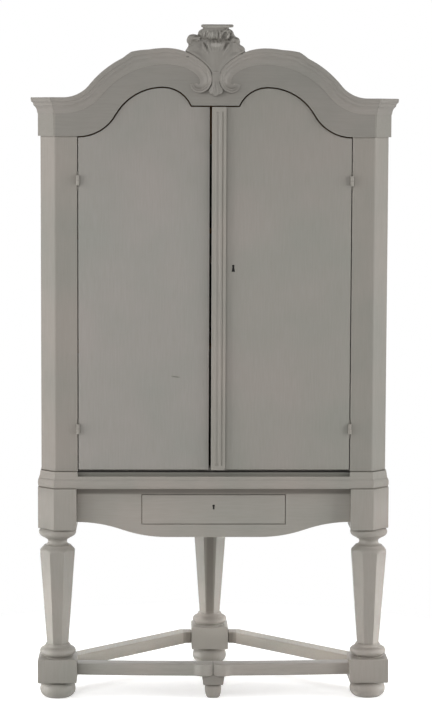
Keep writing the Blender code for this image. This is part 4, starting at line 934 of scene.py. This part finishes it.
def stretcher_front(x):
    """How far the front stretcher's face stands out from its bowed line."""
    start, most = SWELL_X
    off = abs(x)
    if off >= most:
        return SWELL_OUT * smooth(held((start - off) / (start - most)))
    return -CLEFT_IN + (SWELL_OUT + CLEFT_IN) * (1 - (1 - off / most) ** CLEFT_POWER)


def eased_box(first, last, low, high, ease):
    """Four corners, each eased by three points, in depth and height or in x and depth."""
    corners = []
    for (u, v), (su, sv) in (((first, low), (1, 1)), ((last, low), (-1, 1)), ((last, high), (-1, -1)),
                             ((first, high), (1, -1))):
        near = EASE_SHARE * ease
        points = [(u, v + sv * ease), (u + su * near, v + sv * near), (u + su * ease, v)]
        corners += points if su == sv else points[::-1]
    return corners


def serpentine_stretcher():
    """The bowed front stretcher, whose face swells beside a cleft above the keel block."""
    rings = []
    for share in steps(-1, 1, STRETCHER_STEPS):
        share = math.copysign(abs(share) ** STRETCHER_SPACING, share)
        x = share * STRETCHER_END
        middle = LEG_HALF - STRETCHER_BOW * (1 - share**2)
        front = middle - STRETCHER_HALF_D - stretcher_front(x)
        section = eased_box(front, middle + STRETCHER_HALF_D, *STRETCHER_Z, STRETCHER_EASE)
        rings.append([(x, d - MIDDLE_D, z) for d, z in section])
    keel = []
    for z, half, front, back in KEEL:
        keel.append([(x, d - MIDDLE_D, z) for x, d in eased_box(-half, half, front, back, KEEL_EASE)])
    finish(solid("serpentine_stretcher", rings, keel), "front_stretcher", "stretcher")


# The centre foot: shares of its half width and of its height, and how square it is
PILLOW_PROFILE = ((0.62, 0.0), (0.74, 0.03), (0.84, 0.12), (0.93, 0.28), (0.985, 0.48), (1.0, 0.66),
                  (0.97, 0.82), (0.9, 0.93), (0.8, 0.985), (0.72, 1.0))
PILLOW_POWER = 0.55


def pillow_foot():
    """The small squarish foot under the keel block."""
    low, high = (Vector(corner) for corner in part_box("centre_foot"))
    middle = (low + high) / 2
    half = (high - low) / 2
    rings = []
    for share, rise in PILLOW_PROFILE:
        z = low.z + (high.z - low.z) * rise
        rings.append([(middle.x + x * half.x * share, middle.y + y * half.y * share, z)
                      for x, y in squarish(PILLOW_POWER, PILLOW_POWER)])
    made = solid("pillow_foot", rings)
    subdivide(made)
    finish(made, "centre_foot", "upright")


# The guide under a drawer runner: its reach within and beyond the drawer's edge, and below the drawer
GUIDE_IN = 0.005
GUIDE_OUT = 0.014
GUIDE_BELOW = 0.008
GUIDE_EASE = 0.0015


def guided_runner(side, word):
    """A runner and its guide, which keeps the drawer straight and closes the view beside its front."""
    low, high = (Vector(corner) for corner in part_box("right_drawer_runner"))
    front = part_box("drawer_front")
    edge_x, foot_z = front[1][0], front[0][2] - GUIDE_BELOW
    inner, outer, ease = edge_x - GUIDE_IN, edge_x + GUIDE_OUT, GUIDE_EASE
    section = (
        (low.x, high.z), (low.x, low.z), (inner, low.z), (inner, foot_z + ease), (inner + ease, foot_z),
        (outer - ease, foot_z), (outer, foot_z + ease), (outer, low.z), (high.x - ease, low.z),
        (high.x, low.z + ease), (high.x, high.z - ease), (high.x - ease, high.z),
    )
    rings = [[(side * x, low.y, z) for x, z in section],
             [(side * x, high.y - (x - low.x), z) for x, z in section]]
    finish(solid(word + "_guided_runner", rings), word + "_drawer_runner", "wood_y")


# Near black for painted shade: the top of the sill under the doors and the insides of the keyholes
UNLIT = srgb(20, 18, 16)

# How softly a mark's edge fades
SOFT = 0.001

# The scratch on the left-hand door: its middle in x and z, half length, droop, thickness and face
SCRATCH_MIDDLE = (-0.1235, 1.046)
SCRATCH_HALF = 0.016
SCRATCH_SLOPE = -0.13
SCRATCH_THICK = 0.003
SCRATCH_FACE_Y = (-0.27, -0.276)
SCRATCH_DARK = 0.75

# The sill under the doors: its foot, ledge, half length, top and back, its painted shade, and how dark the
# painted shade on its top is
SILL_FOOT_Z = 0.7258
SILL_LEDGE_Y = -0.287
SILL_HALF_X = 0.436
SILL_TOP_Z = (0.7371, 0.7378)
SILL_BACK_Y = (-0.235, -0.245)
SILL_SHADE = 0.58
SILL_DARK = 0.94

# The keyholes: the middle of the hole in x and z, and the y of its face; the room round it and its depth
DOOR_KEYHOLE = (0.059, 1.3928, -0.281)
DRAWER_KEYHOLE = (0.0, 0.623, -0.258)
KEYHOLE_ROOM = (0.012, 0.026)
KEYHOLE_DEEP = (0.0006, 0.0014)

# Spots: x, drop below the crest's top, half the length and half the height; chips in the scrolls' rims,
# painted shade in the crest's hollows, and painted highlights on its ridges
RIM_CHIPS = mm(((61.4, 94.4, 6, 2.4), (81.1, 91.2, 6, 2.4), (-87.8, 100.5, 6, 2.4)))
CREST_PAINTED_SHADE = mm((
    (37.7, 47.5, 13, 3.6), (45.5, 40, 3, 5), (37.5, 16, 4, 2.4), (18.8, 36, 2.2, 8), (-33.4, 33, 2.8, 11),
    (-3.8, 46.2, 13.5, 2.8), (-61.6, 38, 10, 3.6), (61.8, 43, 5, 2.6),
))
CREST_PAINTED_HIGHLIGHTS = mm((
    (36.2, 31, 8.5, 12.5), (-27, 30, 3, 14), (-14, 33, 5, 11), (4, 8, 56, 4), (0, 64, 20, 8),
))

# Where a spot fades, in squared shares of its size
SPOT_EDGE = (1.0, 0.3)

# The front stretcher's painted shade: the cleft's half, the block's top, their line's top, fall, thickness
# and end
CLEFT_SHADE_X = 0.0022
KEEL_BLOCK_TOP_Z = 0.0752
KEEL_LINE = (0.0768, 0.27, 0.002, 0.036)
CLEFT_SHADE, KEEL_BLOCK_DARK, KEEL_LINE_SHADOW = 0.6, 0.4, 0.62

# Painted shade on the front of the rear leg's shaft, which stands in the shade of the case
SHAFT_SHADE_X = (0.015, 0.0085)
SHAFT_SHADE_Z = (0.17, 0.185)
SHAFT_SHADE = 0.5

# How far a post's face turns to the front to take painted shade, and the painted shade at the side
# stretchers' ends by the rear leg
FRONT_FACING = (-0.85, -0.97)
FRONT_SHADE = 0.15
STUB_X = (0.091, 0.09)
STUB_SHADE = 0.4


def door_scratch(g):
    """A short dark scratch across the grain of the left-hand door."""
    x, y, z = g.parts()
    along = g.math("SUBTRACT", x, SCRATCH_MIDDLE[0])
    line = g.math("ADD", g.times(along, SCRATCH_SLOPE), SCRATCH_MIDDLE[1])
    thin = g.ramp(g.off(z, line), SCRATCH_THICK, 0.3 * SCRATCH_THICK)
    short = g.ramp(g.off(along), SCRATCH_HALF, 0.4 * SCRATCH_HALF)
    return g.times(thin, short, g.ramp(y, *SCRATCH_FACE_Y, 0.0, SCRATCH_DARK)), srgb(88, 85, 78)


def sill_front(g, x, y, most):
    """The front of the sill, between the posts."""
    inside = g.ramp(g.off(x), SILL_HALF_X + SOFT, SILL_HALF_X)
    return g.times(inside, g.ramp(y, *SILL_BACK_Y, 0.0, most))


def sill_painted_shade(g):
    """Painted shade in the rebate under the doors, which overhang it."""
    x, y, z = g.parts()
    high = g.ramp(z, SILL_FOOT_Z - SOFT, SILL_FOOT_Z + SOFT)
    deep = g.ramp(y, SILL_LEDGE_Y - SOFT, SILL_LEDGE_Y + SOFT)
    return g.times(high, deep, sill_front(g, x, y, SILL_SHADE)), srgb(84, 86, 79)


def sill_gap(g):
    """Painted shade: the top of the sill under the doors, painted near black as if unlit."""
    x, y, z = g.parts()
    return g.times(g.ramp(z, *SILL_TOP_Z), sill_front(g, x, y, SILL_DARK)), UNLIT


def keyhole_painted_shade(hole):
    """Painted shade: the inside of a keyhole, painted near black."""
    def mark(g):
        x, y, z = g.parts()
        hole_x, hole_z, face = hole
        room_x, room_z = KEYHOLE_ROOM
        beside = g.ramp(g.off(x, hole_x), room_x, 0.9 * room_x)
        level = g.ramp(g.off(z, hole_z), room_z, 0.9 * room_z)
        deep = g.ramp(y, *(face + depth for depth in KEYHOLE_DEEP))
        return g.times(beside, level, deep), UNLIT
    return mark


def spots(places, most, *tone):
    """Soft oval spots."""
    def mark(g):
        x, y, z = g.parts()
        total = 0.0
        for middle, drop, half_x, half_z in places:
            across = g.math("DIVIDE", g.off(x, middle), half_x)
            up = g.math("DIVIDE", g.off(z, CREST_TOP_Z - drop), half_z)
            away = g.math("ADD", g.times(across, across), g.times(up, up))
            total = g.most(total, g.ramp(away, *SPOT_EDGE))
        return g.times(total, most), srgb(*tone)
    return mark


def shade(start, full, share, tone=SHADE_AND_DIRT):
    """Painted light or shade: a tone that grows from one height to another."""
    return lambda g: (g.ramp(g.parts()["Z"], start, full, 0.0, share), tone)


def front_painted_shade(g):
    """Painted shade: a post's face that turns to the front is a little darker than its cant."""
    return g.ramp(g.parts("Normal")["Y"], *FRONT_FACING, 0.0, FRONT_SHADE), srgb(84, 79, 71)


def keel_painted_shade(g):
    """Painted shade in the front stretcher's cleft, a darker keel block, and a painted shadow along the
    line where they meet.
    """
    x, y, z = g.parts()
    off = g.off(x)
    below = g.ramp(z, KEEL_BLOCK_TOP_Z, KEEL_BLOCK_TOP_Z - SOFT)
    cleft = g.ramp(off, CLEFT_SHADE_X, 0.2 * CLEFT_SHADE_X)
    cleft = g.times(cleft, CLEFT_SHADE, g.math("SUBTRACT", 1.0, below))
    top, fall, thick, end = KEEL_LINE
    apart = g.off(z, g.math("SUBTRACT", top, g.times(off, fall)))
    line = g.times(g.ramp(apart, thick, 0.2 * thick), g.ramp(off, end, 0.9 * end), KEEL_LINE_SHADOW)
    return g.most(cleft, g.times(below, KEEL_BLOCK_DARK), line), srgb(62, 58, 52)


# Painted shade on the front of the rear leg's shaft
def shaft_painted_shade(g):
    x, y, z = g.parts()
    front = g.ramp(g.off(x), *SHAFT_SHADE_X)
    return g.times(front, g.ramp(z, *SHAFT_SHADE_Z), SHAFT_SHADE), SHADE_AND_DIRT


# Painted shade: the side stretchers' ends by the rear leg, darker
def stub_painted_shade(g):
    return g.ramp(g.off(g.parts()["X"]), *STUB_X, 0.0, STUB_SHADE), SHADE_AND_DIRT


# Each paint's cool and warm tone in 0 to 255, the way its grain runs, its marks and the strength of the
# painted shade and dirt in its creases
COOL, WARM = (138, 136, 129), (147, 141, 134)
LEVEL_COOL, LEVEL_WARM = (144, 142, 135), (154, 148, 141)
APRON_COOL, APRON_WARM = (142, 140, 133), (152, 146, 139)
LIGHT_CREASE_SHADE_AND_DIRT, CREST_CREASE_SHADE_AND_DIRT = 0.28, 0.5
# Painted shade: the doors darker towards their tops, where less light falls
DOOR_TOP_PAINTED_SHADE = shade(1.5, 1.98, 0.16)
# Painted light: the rear leg's lower block painted lighter
REAR_BLOCK_PAINTED_LIGHT = shade(0.144, 0.142, 0.8, srgb(157, 153, 145))
# Painted shadow: a dark band at the apron's top, under the stand's moulding
APRON_PAINTED_SHADOW = shade(0.6628, 0.6668, 0.54)
# Painted highlights on the crest's ridges and painted shade in its hollows
CREST_MARKS = (spots(CREST_PAINTED_HIGHLIGHTS, 0.6, 160, 157, 150), spots(CREST_PAINTED_SHADE, 0.62, 66, 61, 54))
# The same grey paint takes lighter tones on the stretchers and the apron and darker ones on the frieze,
# cornice and crest: painted light and shade
PAINTS = {
    "upright": (COOL, WARM, "z"),
    "level": (LEVEL_COOL, LEVEL_WARM, "x", (), LIGHT_CREASE_SHADE_AND_DIRT),
    "front_apron": (APRON_COOL, APRON_WARM, "x", (APRON_PAINTED_SHADOW,)),
    "drawer_front": (APRON_COOL, APRON_WARM, "x", (keyhole_painted_shade(DRAWER_KEYHOLE),)),
    "side": ((154, 150, 141), (163, 156, 146), "y", (stub_painted_shade,), LIGHT_CREASE_SHADE_AND_DIRT),
    "stand_top": ((140, 138, 131), (151, 144, 137), "x", (sill_painted_shade, sill_gap)),
    "crown": ((128, 126, 120), (138, 133, 127), "x", (spots(RIM_CHIPS, 0.7, 58, 54, 48),), LIGHT_CREASE_SHADE_AND_DIRT),
    "crest": ((122, 120, 114), (132, 128, 122), "z", CREST_MARKS, CREST_CREASE_SHADE_AND_DIRT),
    "stretcher": (LEVEL_COOL, LEVEL_WARM, "x", (keel_painted_shade,), LIGHT_CREASE_SHADE_AND_DIRT),
    "rear_leg": (COOL, WARM, "z", (shaft_painted_shade, REAR_BLOCK_PAINTED_LIGHT)),
    "post": (COOL, WARM, "z", (front_painted_shade,)),
    "frieze_return": ((130, 128, 121), (137, 133, 126), "x"),
    "frieze": ((123, 121, 115), (130, 126, 120), "x"),
    "left_door": ((139, 138, 132), (147, 142, 137), "z", (door_scratch, DOOR_TOP_PAINTED_SHADE)),
    "right_door": ((136, 135, 128), (143, 138, 132), "z", (keyhole_painted_shade(DOOR_KEYHOLE), DOOR_TOP_PAINTED_SHADE)),
}
MATERIALS = {key: paint(key + "_paint", *rows) for key, rows in PAINTS.items()}
MATERIALS.update(wood_x=bare_wood("bare_wood_across", "x"), wood_y=bare_wood("bare_wood_deep", "y"))
MATERIALS.update(iron=iron("forged_iron"), hinge=painted_iron("hinge_iron"))

# The other nodes' materials, by words in their names, in order
MATERIAL_WORDS = (
    ("hinge", ("hinge",)), ("iron", ("lock", "bolt")), ("frieze", ("frieze_board",)),
    ("frieze_return", ("frieze",)), ("crown", ("cornice",)),
    ("wood_y", ("runner", "drawer_left", "drawer_right")),
    ("wood_x", ("shelf", "batten", "drawer_back", "drawer_bottom", "head_rail")),
    ("level", ("front_stretcher", "bottom_board", "top_board")), ("side", ("stretcher", "rear_rail")),
    ("post", ("left_post", "right_post")),
)


def material_for(node):
    if node in ("left_door", "right_door", "stand_top", "front_apron", "drawer_front", "crest"):
        return MATERIALS[node]
    for key, words in MATERIAL_WORDS:
        if any(word in node for word in words):
            return MATERIALS[key]
    return MATERIALS["upright"]


for node, shown in NODES.items():
    shown.data.materials.clear()
    shown.data.materials.append(material_for(node))

for side, word in SIDES:
    cornice(side, word)
    leg("front_" + word + "_leg", side * LEG_X, LEG_HALF, side, "upright")
    foot("front_" + word + "_foot", side * LEG_X, LEG_HALF)
leg("rear_leg", 0.0, REAR_LEG_D, 0, "rear_leg")
foot("rear_foot", 0.0, REAR_LEG_D)
crest()
for side, word in SIDES:
    guided_runner(side, word)
serpentine_stretcher()
pillow_foot()


WHITE = (1.0, 1.0, 1.0, 1.0)
FLOOR_COLOUR = (0.9, 0.9, 0.9, 1.0)
FLOOR_HALF = 30.0

# A white floor in a light tent: what it shows and gives back by itself, and where it turns plain white
FLOOR_GLOW = 0.5
FLOOR_BOUNCE = 0.12
FLOOR_FADE = (0.75, 1.3)
WORLD_LIGHT = 0.06


def floor():
    """A white floor with a soft shadow near the cabinet, plain white further away."""
    shape = bmesh.new()
    bmesh.ops.create_grid(shape, x_segments=1, y_segments=1, size=FLOOR_HALF)
    mesh = bpy.data.meshes.new("studio_floor")
    shape.to_mesh(mesh)
    shape.free()
    made = show("studio_floor", mesh)
    g = Graph("studio_floor")
    reach = g.node("VectorMath", {0: g.coords("Object")}, operation="LENGTH")
    seen = g.seen()
    glow = g.ramp(seen, 0.0, 1.0, FLOOR_BOUNCE, FLOOR_GLOW)
    plain = {"Base Color": FLOOR_COLOUR, "Roughness": 0.9, "Specular IOR Level": 0.1}
    near = g.fill("Principled BSDF", {**plain, "Emission Color": WHITE, "Emission Strength": glow})
    far = g.node("Emission", {"Color": WHITE, "Strength": 1.0})
    share = g.times(g.ramp(reach.outputs["Value"], *FLOOR_FADE), seen)
    blend = g.node("MixShader", {0: share, 1: near.outputs["BSDF"], 2: far.outputs["Emission"]})
    g.fill("Material Output", {"Surface": blend.outputs["Shader"]})
    mesh.materials.append(g.owner)


def world():
    """Plain white where it is seen, and a faint light elsewhere."""
    g = Graph("studio", bpy.data.worlds)
    bpy.context.scene.world = g.owner
    g.fill("Background", {"Color": WHITE, "Strength": g.ramp(g.seen(), 0.0, 1.0, WORLD_LIGHT, 1.0)})


def lamp(name, place, target, size, power, spread=180.0):
    data = bpy.data.lights.new(name, "AREA")
    data.shape = "RECTANGLE"
    data.size, data.size_y = size
    data.energy = power
    data.spread = math.radians(spread)
    made = show(name, data)
    made.location = place
    made.rotation_euler = (Vector(target) - Vector(place)).to_track_quat("-Z", "Y").to_euler()
    made.visible_camera = False


def camera():
    data = bpy.data.cameras.new("camera")
    data.sensor_fit = "VERTICAL"
    data.sensor_height = SENSOR
    data.lens = FOCAL_PIXELS * SENSOR / IMAGE_HEIGHT
    data.clip_end = 200.0
    made = show("camera", data)
    bpy.context.scene.camera = made
    turn = Matrix.Rotation(CAMERA_YAW, 4, "Z") @ Matrix.Rotation(math.pi / 2 + CAMERA_PITCH, 4, "X")
    turn = turn @ Matrix.Rotation(CAMERA_ROLL, 4, "Z")
    made.matrix_world = Matrix.Translation(CAMERA_PLACE) @ turn


floor()
world()
lamp("front_softbox", (-2.5, -6.2, 4.0), (0.0, 0.0, 1.0), (4.0, 1.2), 143.0)
lamp("left_softbox", (-3.4, -1.6, 1.7), (0.0, -0.1, 1.1), (1.8, 2.8), 74.0)
lamp("right_softbox", (3.4, -1.6, 1.7), (0.0, -0.1, 1.1), (1.8, 2.8), 86.0)
for side, word in SIDES:
    lamp(word + "_strip", (side * 2.4, 0.0, 0.24), (0.0, 0.0, 0.2), (1.3, 0.42), 1.9, 25.0)
lamp("back_softbox", (0.0, 5.5, 2.6), (0.0, 0.0, 0.9), (4.0, 1.2), 46.0)
lamp("top_softbox", (0.0, 2.4, 5.0), (0.0, 0.1, 2.0), (3.0, 1.5), 100.0)
camera()
bpy.context.scene.view_settings.view_transform = "Standard"

bpy.context.view_layer.update()
